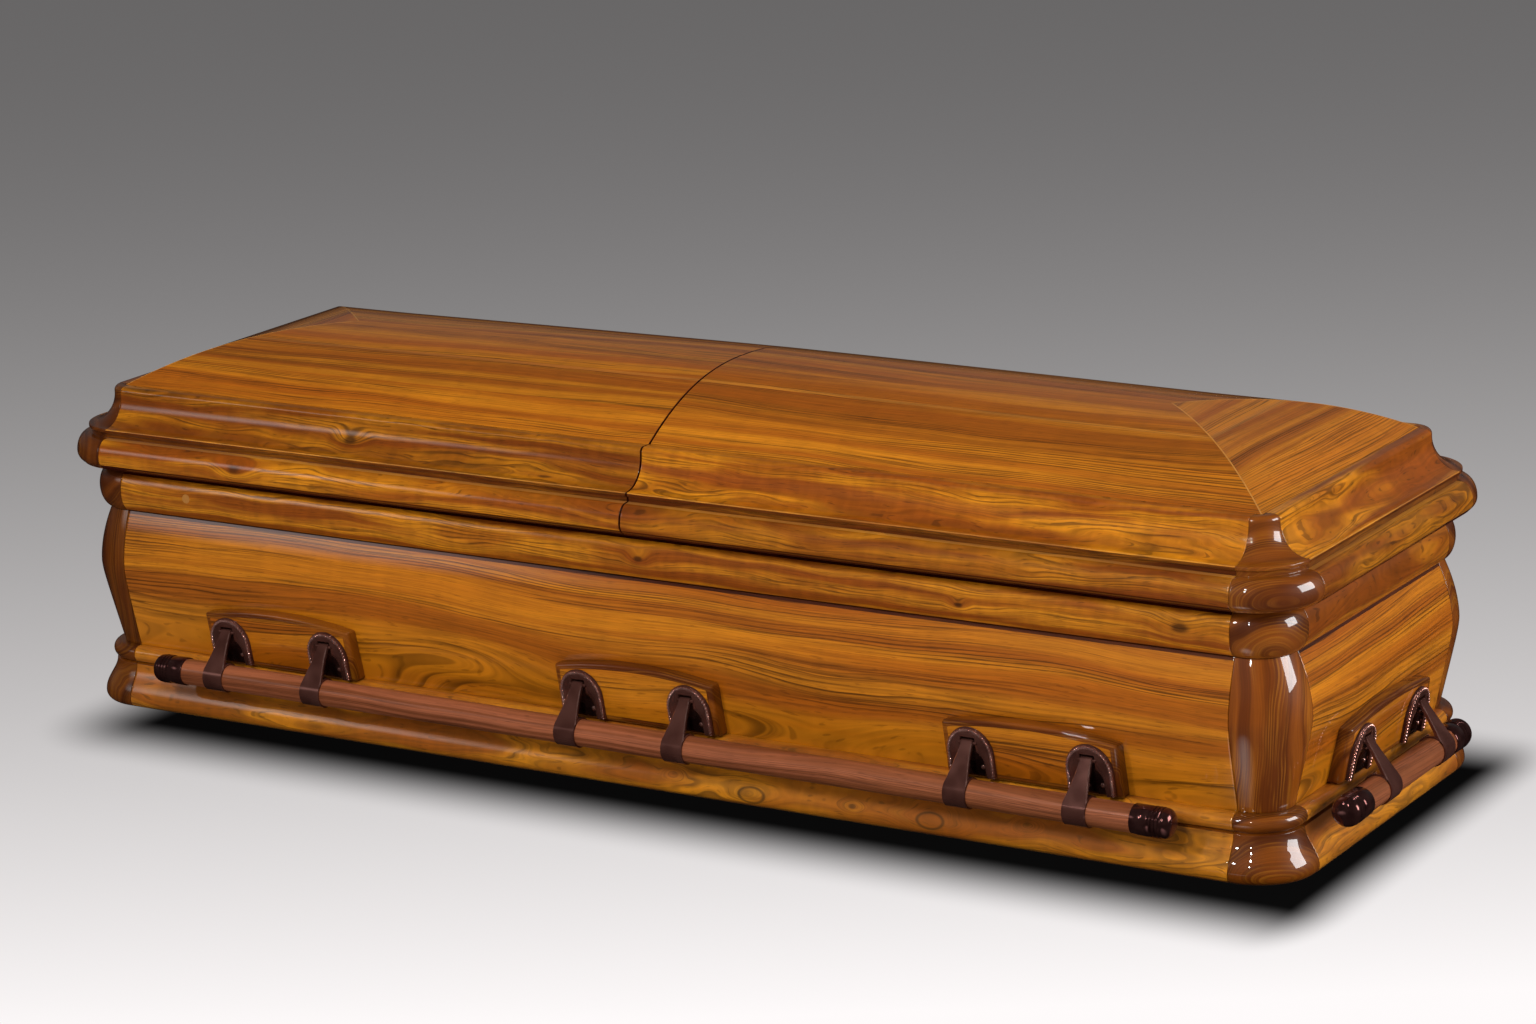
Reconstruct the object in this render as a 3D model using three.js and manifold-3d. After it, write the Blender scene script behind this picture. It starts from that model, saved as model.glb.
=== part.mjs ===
// A lacquered wooden coffin with a two-part lid and swing-bar handles.
// Millimetres, +Z up. The length runs along X, the front is at -Y, and the origin lies in the middle
// of the underside. Outlines are given as an offset from the base line and a height: an offset of 0 is
// the base line, a plus offset lies further out and a minus offset further in.
import * as THREE from "three";
import { mergeVertices } from "three/addons/utils/BufferGeometryUtils.js";
import Module from "manifold-3d";

const wasm = await Module();
wasm.setup();

// plan of the box
const baseHalfLength = 1042;
const baseHalfWidth = 331;
const cornerRadius = 84;
const cornerSteps = 4;
const fitGap = 0.3;

// woodwork
const baseHeight = 94.5;
const baseInset = 54;
const boardThickness = 18;
const footRound = 13;
const footBulge = 2;
const neckInset = 19.5;
const neckHeight = 67;
const beadRadius = 13;
const beadInset = 28;
const bodyTop = 313.5;
const bellyHeight = 226;
const bellyInset = 6.3;
const bellyDropUp = 22.5;
const bellyDropDown = 27.5;
const bellySoftness = 0.12;
const wallThickness = 20;
const postReach = 8;
const railTop = 388;
const railHalfHeight = 33;
const railDepth = 20;
const railRootInset = 32;
const railFilletInset = 24;
const railInset = 56;

// lid
const lidSeam = 2;
const lipOut = 18;
const lipHeight = 407;
const lipRound = 17;
const lipUndercut = 9;
const grooveFoot = 433;
const grooveTop = 441;
const grooveInset = 7;
const coveEdgeInset = 3;
const coveEdgeHeight = 444;
const coveFoot = 448.5;
const coveTop = 495;
const coveReach = 42;
const rimLedge = 505;
const rimLedgeInset = 51;
const rimWaistHeight = 440;
const rimShoulderHeight = 478;
const crownInset = 68;
const crownEdge = 503;
const crownThickness = 14.5;
const crownSeat = 12;
const crownRise = 78;
const crownRoundness = 2.3;
const crownCamber = 0.09;

// handles
const plaqueMargin = 392;
const plaqueHalfWidth = 137;
const plaqueEndHeight = 176;
const plaqueCrest = 190;
const archSteps = 6;
const faceInset = 9.8;
const faceFootHeight = 100;
const faceLean = 0.2;
const lugSpacing = 186;
const lugHalfWidth = 36.5;
const lugHeight = 75;
const lugThickness = 12;
const lugFloor = 1.2;
const lugArchFoot = 34;
const slotHalfWidth = 11;
const slotTop = 61;
const recessHalfWidth = 24;
const recessShoulder = 40;
const recessCurveFoot = 22;
const recessCurveRise = 20;
const pivotOut = 7;
const pivotHeight = 151;
const pivotRadius = 2.5;
const pivotReach = 14;
const barrelRadius = 4.8;
const barrelHalfWidth = 9;
const barOut = 30;
const barHeight = 86;
const barRadius = 20;
const barSides = 10;
const bandThickness = 2.4;
const bandHalfWidth = 18;
const armThickness = 6;
const capRadius = 22.3;
const capLength = 60;
const sideBarTail = 55;
const endBarTail = 33;
const frontBarSlide = 11;
const footBarSlide = -22;

const wood = new THREE.MeshStandardMaterial({ color: 0xb4691c, roughness: 0.22, metalness: 0 });
const darkWood = new THREE.MeshStandardMaterial({ color: 0x8a3f18, roughness: 0.22, metalness: 0 });
const barWood = new THREE.MeshStandardMaterial({ color: 0x7c4630, roughness: 0.35, metalness: 0 });
const copper = new THREE.MeshStandardMaterial({ color: 0x4a2c2b, roughness: 0.3, metalness: 1 });

const radians = THREE.MathUtils.degToRad;

// Merges shared corners, drops triangles that have shrunk to a line and turns the faces outward.
function closedBody(positions, triangles) {
  let geometry = new THREE.BufferGeometry();
  geometry.setAttribute("position", new THREE.Float32BufferAttribute(positions.flat(), 3));
  geometry.setIndex(triangles.flat());
  geometry = mergeVertices(geometry, 1e-3);
  const index = geometry.index.array;
  const kept = [];
  for (let i = 0; i < index.length; i += 3) {
    const [a, b, c] = [index[i], index[i + 1], index[i + 2]];
    if (a !== b && b !== c && c !== a) kept.push(a, b, c);
  }
  const point = (i) => new THREE.Vector3().fromBufferAttribute(geometry.attributes.position, i);
  let volume = 0;
  for (let i = 0; i < kept.length; i += 3) {
    volume += point(kept[i]).dot(point(kept[i + 1]).cross(point(kept[i + 2])));
  }
  if (volume < 0) kept.reverse();
  geometry.setIndex(kept);
  geometry.computeVertexNormals();
  return geometry;
}

// The same for a geometry that is closed already but carries doubled corners.
function tidied(geometry) {
  const bare = geometry.index ? geometry.toNonIndexed() : geometry;
  const array = Array.from(bare.attributes.position.array);
  const points = Array.from({ length: array.length / 3 }, (_, i) => array.slice(3 * i, 3 * i + 3));
  const faces = Array.from({ length: points.length / 3 }, (_, i) => [3 * i, 3 * i + 1, 3 * i + 2]);
  return closedBody(points, faces);
}

// A closed geometry as a solid that can be joined and cut.
function solidOf(geometry) {
  const body = tidied(geometry);
  return new wasm.Manifold(new wasm.Mesh({
    numProp: 3,
    vertProperties: new Float32Array(body.attributes.position.array),
    triVerts: new Uint32Array(body.index.array),
  }));
}

function geometryOf(solid) {
  const mesh = solid.getMesh();
  const geometry = new THREE.BufferGeometry();
  geometry.setAttribute("position", new THREE.BufferAttribute(mesh.vertProperties, 3));
  geometry.setIndex(new THREE.BufferAttribute(mesh.triVerts, 1));
  geometry.computeVertexNormals();
  return geometry;
}

// A run of outline points on an ellipse between two angles.
function curve(offset, height, reach, rise, fromAngle, toAngle, steps) {
  return Array.from({ length: steps + 1 }, (_, i) => {
    const angle = radians(THREE.MathUtils.lerp(fromAngle, toAngle, i / steps));
    return [offset + reach * Math.cos(angle), height + rise * Math.sin(angle)];
  });
}

const roundCorner = (offset) => Math.max(0, cornerRadius + offset);
// The lid's corners sharpen inward from the ledge, so that the crown's mitres end in a point.
const lidCorner = (offset) => (offset <= -crownInset ? 0 : roundCorner(offset));

// A place on the way round a corner, as a function from an offset to a plan position.
function cornerStation(signX, signY, angle, along, radiusAt) {
  const turn = radians(angle);
  return (offset) => {
    const radius = radiusAt(offset);
    const centreX = signX * (baseHalfLength + offset - radius);
    const centreY = signY * (baseHalfWidth + offset - radius);
    return [
      centreX + radius * Math.cos(turn) - along * Math.sin(turn),
      centreY + radius * Math.sin(turn) + along * Math.cos(turn),
    ];
  };
}

const cornerSigns = [[1, 1], [-1, 1], [-1, -1], [1, -1]];

function cornerStations(corner, radiusAt, reach = 0) {
  const [signX, signY] = cornerSigns[corner % 4];
  const stations = [];
  for (let step = 0; step <= cornerSteps; step++) {
    const angle = 90 * corner + (90 * step) / cornerSteps;
    if (step === 0 && reach) stations.push(cornerStation(signX, signY, angle, -reach, radiusAt));
    stations.push(cornerStation(signX, signY, angle, 0, radiusAt));
    if (step === cornerSteps && reach) stations.push(cornerStation(signX, signY, angle, reach, radiusAt));
  }
  return stations;
}

// Carries a closed outline past the stations; an open way gets a flat end at each side.
function sweep(stations, outline, closed) {
  const positions = [];
  for (const station of stations) {
    for (const [offset, height] of outline) positions.push([...station(offset), height]);
  }
  const count = outline.length;
  const triangles = [];
  const spans = closed ? stations.length : stations.length - 1;
  for (let i = 0; i < spans; i++) {
    const next = (i + 1) % stations.length;
    for (let j = 0; j < count; j++) {
      const k = (j + 1) % count;
      triangles.push([i * count + j, next * count + j, next * count + k]);
      triangles.push([i * count + j, next * count + k, i * count + k]);
    }
  }
  if (!closed) {
    const contour = outline.map(([offset, height]) => new THREE.Vector2(offset, height));
    const clockwise = THREE.ShapeUtils.isClockWise(contour);
    const last = (stations.length - 1) * count;
    for (const [a, b, c] of THREE.ShapeUtils.triangulateShape(contour, [])) {
      const face = [contour[a], contour[b], contour[c]];
      const [p, q, r] = THREE.ShapeUtils.isClockWise(face) === clockwise ? [a, b, c] : [a, c, b];
      triangles.push([p, q, r], [last + p, last + r, last + q]);
    }
  }
  return closedBody(positions, triangles);
}

const part = new THREE.Group();

function addMesh(name, geometry, material, parent = part) {
  const mesh = new THREE.Mesh(geometry, material);
  mesh.name = name;
  parent.add(mesh);
  return mesh;
}

// The bellied wall's outside: a soft bow above the belly and an almost straight taper below it.
function bodyOffset(height) {
  const above = (height - bellyHeight) / (bodyTop - bellyHeight);
  if (above >= 0) return -bellyInset - bellyDropUp * above ** 1.75;
  const below = (bellyHeight - height) / (bellyHeight - baseHeight);
  const bend = Math.sqrt(below ** 2 + bellySoftness ** 2) - bellySoftness;
  return -bellyInset - (bellyDropDown * bend) / (Math.sqrt(1 + bellySoftness ** 2) - bellySoftness);
}

// base moulding: a rounded foot, an S-shaped swell up to a neck, and a bead
function baseOutline() {
  const swell = [0.25, 0.5, 0.75, 1].map((t) => {
    const fall = (1 - Math.cos(Math.PI * t)) / 2;
    return [footBulge - (footBulge + neckInset) * fall, THREE.MathUtils.lerp(footRound, neckHeight, t)];
  });
  return [
    [-baseInset, 0],
    ...curve(footBulge - footRound, footRound, footRound, footRound, -90, 0, 2),
    ...swell,
    ...curve(-beadInset, baseHeight - beadRadius, beadRadius, beadRadius, -40, 90, 4),
    [-baseInset, baseHeight],
  ];
}

const allCorners = [0, 1, 2, 3].flatMap((corner) => cornerStations(corner, roundCorner));
addMesh("base_moulding", sweep(allCorners, baseOutline(), true), wood);

// bottom board, let into the base moulding and flush with its underside
const boardPlan = allCorners.map((station) => new THREE.Vector2(...station(-baseInset - fitGap)));
const board = new THREE.ExtrudeGeometry(new THREE.Shape(boardPlan), { depth: boardThickness, bevelEnabled: false });
addMesh("bottom_board", tidied(board), wood);

// four bellied panels between four corner posts, all of one section and one wall thickness
function wallOutline() {
  const levels = [0, 0.25, 0.45, 0.6, 0.73, 0.87, 1];
  const foot = baseHeight + fitGap;
  const heights = levels.map((level) => THREE.MathUtils.lerp(foot, bodyTop, level));
  const outside = heights.map((height) => [bodyOffset(height), height]);
  const inside = heights.map((height) => [bodyOffset(height) - wallThickness, height]);
  return [...outside, ...inside.reverse()];
}

const sideRun = baseHalfLength - cornerRadius - postReach - fitGap;
const endRun = baseHalfWidth - cornerRadius - postReach - fitGap;
const alongX = (x, sign) => (offset) => [x, sign * (baseHalfWidth + offset)];
const alongY = (y, sign) => (offset) => [sign * (baseHalfLength + offset), y];
addMesh("panel_front", sweep([alongX(-sideRun, -1), alongX(sideRun, -1)], wallOutline(), false), wood);
addMesh("panel_back", sweep([alongX(-sideRun, 1), alongX(sideRun, 1)], wallOutline(), false), wood);
addMesh("panel_foot_end", sweep([alongY(-endRun, 1), alongY(endRun, 1)], wallOutline(), false), wood);
addMesh("panel_head_end", sweep([alongY(-endRun, -1), alongY(endRun, -1)], wallOutline(), false), wood);
const postNames = ["post_foot_back", "post_head_back", "post_head_front", "post_foot_front"];
postNames.forEach((name, corner) => {
  addMesh(name, sweep(cornerStations(corner, roundCorner, postReach), wallOutline(), false), darkWood);
});

// top rail: a half-round with a small fillet above it, on which the lid rests
const railFoot = bodyTop + fitGap;
const railOutline = [
  [-railInset, railFoot],
  ...curve(-railRootInset, railFoot + railHalfHeight, railDepth, railHalfHeight, -90, 66, 6),
  [-railFilletInset, railTop],
  [-railInset, railTop],
];
addMesh("top_rail", sweep(allCorners, railOutline, true), wood);

// lid rim: from the resting face out under the lip, round the ovolo, past two thin edges with a
// recess between them, up the cove and over the rounded nose to the ledge
const lidFoot = railTop + fitGap;
const rimSeat = crownEdge - crownThickness;
const rimOutline = [
  [-railInset, lidFoot],
  [lipOut - lipUndercut, lidFoot],
  ...curve(lipOut - lipRound, lipHeight, lipRound, lipRound, -45, 60, 4),
  [0, grooveFoot],
  [-grooveInset, grooveFoot + 2],
  [-grooveInset, grooveTop],
  [-coveEdgeInset, coveEdgeHeight],
  ...curve(-coveEdgeInset - 1, coveTop, coveReach, coveTop - coveFoot, 270, 180, 5),
  [-rimLedgeInset, rimLedge],
  [-crownInset, rimLedge],
  [-crownInset, rimSeat],
  [-crownInset - crownSeat, rimSeat],
  [-crownInset - crownSeat, rimShoulderHeight],
  [-railInset, rimWaistHeight],
];

function rimStations(sign, corners) {
  const seamAt = (side) => (offset) => [sign * (lidSeam / 2), side * (baseHalfWidth + offset)];
  return [
    seamAt(-sign),
    ...corners.flatMap((corner) => cornerStations(corner, lidCorner)),
    seamAt(sign),
  ];
}

// Crown: a hipped, arched panel. Its height depends on how far in from the edge a point lies, and the
// crest falls a little toward the ends.
const crownHalfWidth = baseHalfWidth - crownInset;
const crownHalfLength = baseHalfLength - crownInset;

function crownHeight(inward, x) {
  const apex = crownHalfLength - crownHalfWidth;
  const rise = crownRise * (1 - crownCamber * (Math.min(Math.abs(x), apex) / apex) ** 1.3);
  return crownEdge + rise * (1 - (1 - inward / crownHalfWidth) ** crownRoundness);
}

function crownGeometry() {
  const arch = [0.15, 0.3, 0.47, 0.64, 0.82, 1].map((share) => share * crownHalfWidth);
  const inwards = [fitGap, crownSeat - fitGap, ...arch];
  const shares = [0, 0.35, 0.7, 1];
  const sides = [...shares.map((share) => [share, 1]), ...shares.toReversed().map((share) => [share, -1])];
  const outer = [];
  const inner = [];
  for (const [share, side] of sides) {
    for (const inward of inwards) {
      const x = THREE.MathUtils.lerp(lidSeam / 2, crownHalfLength - inward, share);
      const y = side * (crownHalfWidth - inward);
      const top = crownHeight(inward, x);
      outer.push([x, y, top]);
      inner.push([x, y, inward < crownSeat ? rimSeat + fitGap : top - crownThickness]);
    }
  }
  const count = inwards.length;
  const shift = outer.length;
  const triangles = [];
  const quad = (a, b, c, d) => triangles.push([a, b, c], [a, c, d]);
  for (let i = 0; i < sides.length - 1; i++) {
    const [here, next] = [i * count, (i + 1) * count];
    for (let j = 0; j < count - 1; j++) {
      quad(here + j, next + j, next + j + 1, here + j + 1);
      quad(shift + here + j, shift + here + j + 1, shift + next + j + 1, shift + next + j);
    }
    quad(here, shift + here, shift + next, next);
  }
  const last = (sides.length - 1) * count;
  for (let j = 0; j < count - 1; j++) {
    quad(j, j + 1, shift + j + 1, shift + j);
    quad(last + j, shift + last + j, shift + last + j + 1, last + j + 1);
  }
  return closedBody([...outer, ...inner], triangles);
}

addMesh("lid_head_rim", sweep(rimStations(-1, [1, 2]), rimOutline, false), wood);
addMesh("lid_foot_rim", sweep(rimStations(1, [3, 0]), rimOutline, false), wood);
addMesh("lid_foot_crown", crownGeometry(), wood);
addMesh("lid_head_crown", crownGeometry(), wood).rotation.z = Math.PI;

// Handles are drawn for a wall that faces -Y, with Y = -out, and turned to their own wall by a group.
function extruded(points, depth) {
  const shape = new THREE.Shape(points.map(([x, y]) => new THREE.Vector2(x, y)));
  return new THREE.ExtrudeGeometry(shape, { depth, bevelEnabled: false });
}

// A drawing in X and height, given a thickness between two out values.
function slab(points, fromOut, toOut) {
  const geometry = extruded(points, toOut - fromOut);
  geometry.rotateX(Math.PI / 2);
  geometry.translate(0, -fromOut, 0);
  return geometry;
}

// A drawing in out and height, carried along X from -half to half.
function bead(points, half) {
  const geometry = extruded(points.map(([out, height]) => [height, out]), 2 * half);
  const place = new THREE.Matrix4().makeBasis(
    new THREE.Vector3(0, 0, 1),
    new THREE.Vector3(0, -1, 0),
    new THREE.Vector3(1, 0, 0),
  );
  geometry.applyMatrix4(place);
  geometry.translate(-half, 0, 0);
  return geometry;
}

function rod(out, height, radius, half, sides) {
  const geometry = new THREE.CylinderGeometry(radius, radius, 2 * half, sides);
  geometry.rotateZ(Math.PI / 2);
  geometry.translate(0, -out, height);
  return geometry;
}

const faceOut = (height) => -faceInset + faceLean * (height - faceFootHeight);

// plaque: a block on the panel, straight-sided, with an arched top and a leaning face
function plaqueGeometry() {
  const foot = baseHeight + fitGap;
  const crest = plaqueCrest + 1;
  const heights = [0, 0.25, 0.5, 0.75, 1].map((share) => THREE.MathUtils.lerp(foot, crest, share));
  const section = [
    ...heights.map((height) => [bodyOffset(height) + fitGap, height]),
    [faceOut(crest), crest],
    [faceOut(foot), foot],
  ];
  const arch = Array.from({ length: archSteps + 1 }, (_, i) => {
    const t = 1 - (2 * i) / archSteps;
    return [plaqueHalfWidth * t, plaqueCrest - (plaqueCrest - plaqueEndHeight) * t * t];
  });
  const front = [[-plaqueHalfWidth, foot], [plaqueHalfWidth, foot], ...arch];
  const block = solidOf(bead(section, plaqueHalfWidth + 1));
  return geometryOf(block.intersect(solidOf(slab(front, -cornerRadius, cornerRadius))));
}

// lug: a horseshoe-shaped casting with a recess that narrows to a slot around the arm's pivot
function lugGeometry() {
  const outline = [
    ...curve(0, lugArchFoot, lugHalfWidth, lugHeight - lugArchFoot, 0, 180, 6),
    [-lugHalfWidth - 1, 0],
    [lugHalfWidth + 1, 0],
  ];
  const shoulder = curve(0, recessCurveFoot, recessHalfWidth - 1, recessCurveRise, 0, 62, 2);
  const right = [[recessHalfWidth, -1], ...shoulder, [slotHalfWidth, recessShoulder], [slotHalfWidth, slotTop]];
  const left = right.map(([x, height]) => [-x, height]).reverse();
  const recess = solidOf(slab([...right, ...left], lugFloor, lugThickness + 1));
  const [across, out] = pivotInLug();
  const socket = solidOf(rod(out, across, pivotRadius + 2 * fitGap, pivotReach + fitGap, 6));
  return geometryOf(solidOf(slab(outline, 0, lugThickness)).subtract(recess).subtract(socket));
}

// the pivot as seen from the lug's foot: its height up the leaning face and its distance out from it
function pivotInLug() {
  const lean = Math.atan(faceLean);
  const out = pivotOut - (faceOut(faceFootHeight) + fitGap / Math.cos(lean));
  const up = pivotHeight - faceFootHeight;
  return [up * Math.cos(lean) + out * Math.sin(lean), out * Math.cos(lean) - up * Math.sin(lean)];
}

// arm: a barrel on a pin, a tapering plate and a band round the bar
function armGeometry() {
  const bandInside = (barRadius + fitGap) / Math.cos(Math.PI / barSides);
  const bandOutside = bandInside + bandThickness;
  const span = new THREE.Vector2(barOut - pivotOut, barHeight - pivotHeight);
  const reach = span.length();
  const slope = (barrelRadius - bandOutside) / reach;
  const ahead = span.clone().normalize();
  const aside = new THREE.Vector2(-ahead.y, ahead.x);
  const normal = ahead.clone().multiplyScalar(slope).addScaledVector(aside, Math.sqrt(1 - slope ** 2));
  const down = new THREE.Vector2(normal.y, -normal.x);
  const length = reach * Math.sqrt(1 - slope ** 2);
  const half = [[barrelHalfWidth, 0], [bandHalfWidth, 0.9], [bandHalfWidth, 1]];
  const plan = [
    ...half.map(([width, share]) => [width, share * length]),
    ...half.toReversed().map(([width, share]) => [-width, share * length]),
  ];
  const plate = extruded(plan, armThickness);
  plate.applyMatrix4(new THREE.Matrix4().makeBasis(
    new THREE.Vector3(1, 0, 0),
    new THREE.Vector3(0, -down.x, down.y),
    new THREE.Vector3(0, -normal.x, normal.y),
  ).setPosition(
    0,
    -(pivotOut + normal.x * (barrelRadius - armThickness)),
    pivotHeight + normal.y * (barrelRadius - armThickness),
  ));
  const arm = solidOf(rod(pivotOut, pivotHeight, barrelRadius, barrelHalfWidth, 6))
    .add(solidOf(rod(pivotOut, pivotHeight, pivotRadius, pivotReach, 6)))
    .add(solidOf(plate))
    .add(solidOf(rod(barOut, barHeight, bandOutside, bandHalfWidth, barSides)))
    .subtract(solidOf(rod(barOut, barHeight, bandInside, bandHalfWidth + 5, barSides)));
  return geometryOf(arm);
}

// bar: a round rail with a longer-bodied cap over each end, domed at the tip
function barGeometry(halfLength) {
  const tip = [[0, 0], [0.55, 2], [0.88, 7], [1, 14], [1, capLength]];
  const end = tip.map(([share, along]) => [share * capRadius, along]);
  const left = [...end, [barRadius, capLength]].map(([radius, along]) => new THREE.Vector2(radius, along - halfLength));
  const right = left.map((point) => new THREE.Vector2(point.x, -point.y)).reverse();
  const geometry = new THREE.LatheGeometry([...left, ...right], barSides);
  geometry.rotateZ(-Math.PI / 2);
  geometry.translate(0, -barOut, barHeight);
  return tidied(geometry);
}

const plaque = plaqueGeometry();
const lug = lugGeometry();
const arm = armGeometry();

function handleSet(wall, turn, wallDistance, centres, barTail, barSlide) {
  const place = new THREE.Group();
  place.rotation.z = radians(turn);
  const set = new THREE.Group();
  set.position.y = -wallDistance;
  place.add(set);
  part.add(place);
  centres.forEach((centre, i) => {
    const plaqueName = centres.length > 1 ? `plaque_${wall}_${i + 1}` : `plaque_${wall}`;
    addMesh(plaqueName, plaque, darkWood, set).position.x = centre;
    for (const side of [-1, 1]) {
      const number = 2 * i + (side + 3) / 2;
      const x = centre + (side * lugSpacing) / 2;
      const lean = Math.atan(faceLean);
      const lugMesh = addMesh(`lug_${wall}_${number}`, lug, copper, set);
      lugMesh.rotation.x = lean;
      lugMesh.position.set(x, -(faceOut(faceFootHeight) + fitGap / Math.cos(lean)), faceFootHeight);
      addMesh(`arm_${wall}_${number}`, arm, copper, set).position.x = x;
    }
  });
  const lastArm = Math.max(...centres) + lugSpacing / 2;
  const barHalfLength = lastArm + bandHalfWidth + barTail + capLength;
  addMesh(`bar_${wall}`, barGeometry(barHalfLength), barWood, set).position.x = barSlide;
}

const plaqueSpacing = baseHalfLength - plaqueMargin;
const sideCentres = [-plaqueSpacing, 0, plaqueSpacing];
handleSet("front", 0, baseHalfWidth, sideCentres, sideBarTail, frontBarSlide);
handleSet("back", 180, baseHalfWidth, sideCentres, sideBarTail, 0);
handleSet("foot", 90, baseHalfLength, [0], endBarTail, footBarSlide);
handleSet("head", -90, baseHalfLength, [0], endBarTail, 0);

export default part;
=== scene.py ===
# A lacquered wooden coffin with a two-part arched lid and swing-bar handles.
# Sizes are in millimetres unless a note says otherwise; meshes are written in metres.
import math
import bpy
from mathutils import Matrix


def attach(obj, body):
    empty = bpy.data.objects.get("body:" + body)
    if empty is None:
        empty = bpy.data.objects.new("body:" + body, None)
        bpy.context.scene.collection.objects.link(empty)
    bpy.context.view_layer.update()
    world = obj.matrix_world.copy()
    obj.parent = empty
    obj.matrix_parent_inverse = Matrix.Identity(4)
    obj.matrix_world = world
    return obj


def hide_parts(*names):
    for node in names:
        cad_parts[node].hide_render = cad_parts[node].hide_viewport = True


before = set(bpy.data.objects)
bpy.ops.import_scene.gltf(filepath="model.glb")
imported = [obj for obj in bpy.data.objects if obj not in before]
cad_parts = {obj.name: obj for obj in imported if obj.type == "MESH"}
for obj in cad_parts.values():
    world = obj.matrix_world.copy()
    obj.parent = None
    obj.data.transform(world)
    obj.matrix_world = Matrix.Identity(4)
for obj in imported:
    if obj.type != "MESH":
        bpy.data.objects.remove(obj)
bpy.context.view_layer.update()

import zlib
from functools import partial
import bmesh
import bpy
import numpy as np
from mathutils import Matrix, Vector

print("frame:", len(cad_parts), "nodes loaded")
mm = 0.001

# helpers
def toLinear(hexColour):
    # each sRGB channel: c/12.92 below 0.04045, else ((c + 0.055) / 1.055) to the power 2.4
    value = np.array([int(hexColour[i:i + 2], 16) / 255 for i in (1, 3, 5)])
    linear = np.where(value <= 0.04045, value / 12.92, ((value + 0.055) / 1.055) ** 2.4)
    return (*linear.tolist(), 1.0)


def addNode(tree, kind, links=None, out=0, **settings):
    # one node, its settings, and for each input a value or the socket that feeds it; gives one output, or all
    made = tree.nodes.new("ShaderNode" + kind)
    for key, value in settings.items():
        setattr(made, key, value)
    for key, value in (links or {}).items():
        if isinstance(value, bpy.types.NodeSocket):
            tree.links.new(value, made.inputs[key])
        else:
            made.inputs[key].default_value = value
    return made.outputs if out is None else made.outputs[out]


def newMaterial(name):
    # an empty material, and the function that adds a node to it
    material = bpy.data.materials.new(name)
    material.use_nodes = True
    material.node_tree.nodes.clear()
    return material, partial(addNode, material.node_tree)


def gridFaces(rows, cols, wrapRows=False, wrapCols=False):
    # quads between neighbouring rows and columns of a grid stored row by row
    i = np.arange(rows if wrapRows else rows - 1)[:, None]
    j = np.arange(cols if wrapCols else cols - 1)[None, :]
    nextI, nextJ = (i + 1) % rows, (j + 1) % cols
    corners = (i * cols + j, nextI * cols + j, nextI * cols + nextJ, i * cols + nextJ)
    return np.stack(np.broadcast_arrays(*corners), -1).reshape(-1, 4).tolist()


def arc(offset, height, reach, rise, start, end, steps):
    # points on an ellipse: centre + (reach cos a, rise sin a), with a in degrees from start to end
    angle = np.radians(np.linspace(start, end, steps + 1))
    return np.stack([offset + reach * np.cos(angle), height + rise * np.sin(angle)], 1)


def eased(outline, radius, steps=3, sharperThan=28):
    # each corner sharper than the limit becomes a quadratic curve between two points `radius` away
    before, after = np.roll(outline, 1, 0) - outline, np.roll(outline, -1, 0) - outline
    back, ahead = np.linalg.norm(before, axis=1), np.linalg.norm(after, axis=1)
    cosine = -(before * after).sum(1) / (back * ahead)
    cut = np.minimum(radius, 0.45 * np.minimum(back, ahead))[:, None]
    t = np.linspace(0, 1, steps + 1)[None, :, None]
    start, end = outline + before / back[:, None] * cut, outline + after / ahead[:, None] * cut
    curve = (1 - t) ** 2 * start[:, None] + 2 * t * (1 - t) * outline[:, None] + t ** 2 * end[:, None]
    sharp = cosine < math.cos(math.radians(sharperThan))
    return np.concatenate([c if s else p[None] for c, s, p in zip(curve, sharp, outline)])


def woodGrain(points, name, centre, along, pith):
    # the place inside the tree: (along the trunk, two distances from its pith), in metres
    along = np.array(along, float) / np.linalg.norm(along)
    third = np.array([0, 0, 1.0]) if abs(along[2]) < 0.9 else np.array([0, 1.0, 0])
    across = np.cross(third, along)
    seed = np.random.default_rng(zlib.crc32(name.encode()))
    local = points - np.array(centre) * mm
    shift = np.array([seed.uniform(-40, 40), pith[0] * mm, pith[1] * mm])
    return local @ np.stack([along, across, third], 1) + shift


def addPiece(name, parts, materials, body="coffin", nodes=(), wood=None, sharp=35):
    # parts are (points in mm, faces, material number); doubled points are merged, faces turned outward
    name = name.replace(" ", "-")
    points, faces, numbers, count = [], [], [], 0
    for partPoints, partFaces, number in parts:
        points.append(np.asarray(partPoints, float) * mm)
        faces += [[i + count for i in face] for face in partFaces]
        numbers += [number] * len(partFaces)
        count += len(partPoints)
    mesh = bpy.data.meshes.new(name)
    mesh.from_pydata(np.concatenate(points).tolist(), [], faces)
    mesh.polygons.foreach_set("material_index", numbers)
    work = bmesh.new()
    work.from_mesh(mesh)
    bmesh.ops.remove_doubles(work, verts=work.verts, dist=2e-6)
    bmesh.ops.recalc_face_normals(work, faces=work.faces)
    work.to_mesh(mesh)
    work.free()
    mesh.shade_smooth()
    mesh.set_sharp_from_angle(angle=math.radians(sharp))
    for material in materials:
        mesh.materials.append(material)
    if wood:
        writeWood(mesh, name, wood)
    piece = bpy.data.objects.new(name, mesh)
    bpy.context.scene.collection.objects.link(piece)
    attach(piece, body)
    if nodes:
        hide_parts(*nodes)
    return piece


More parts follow.
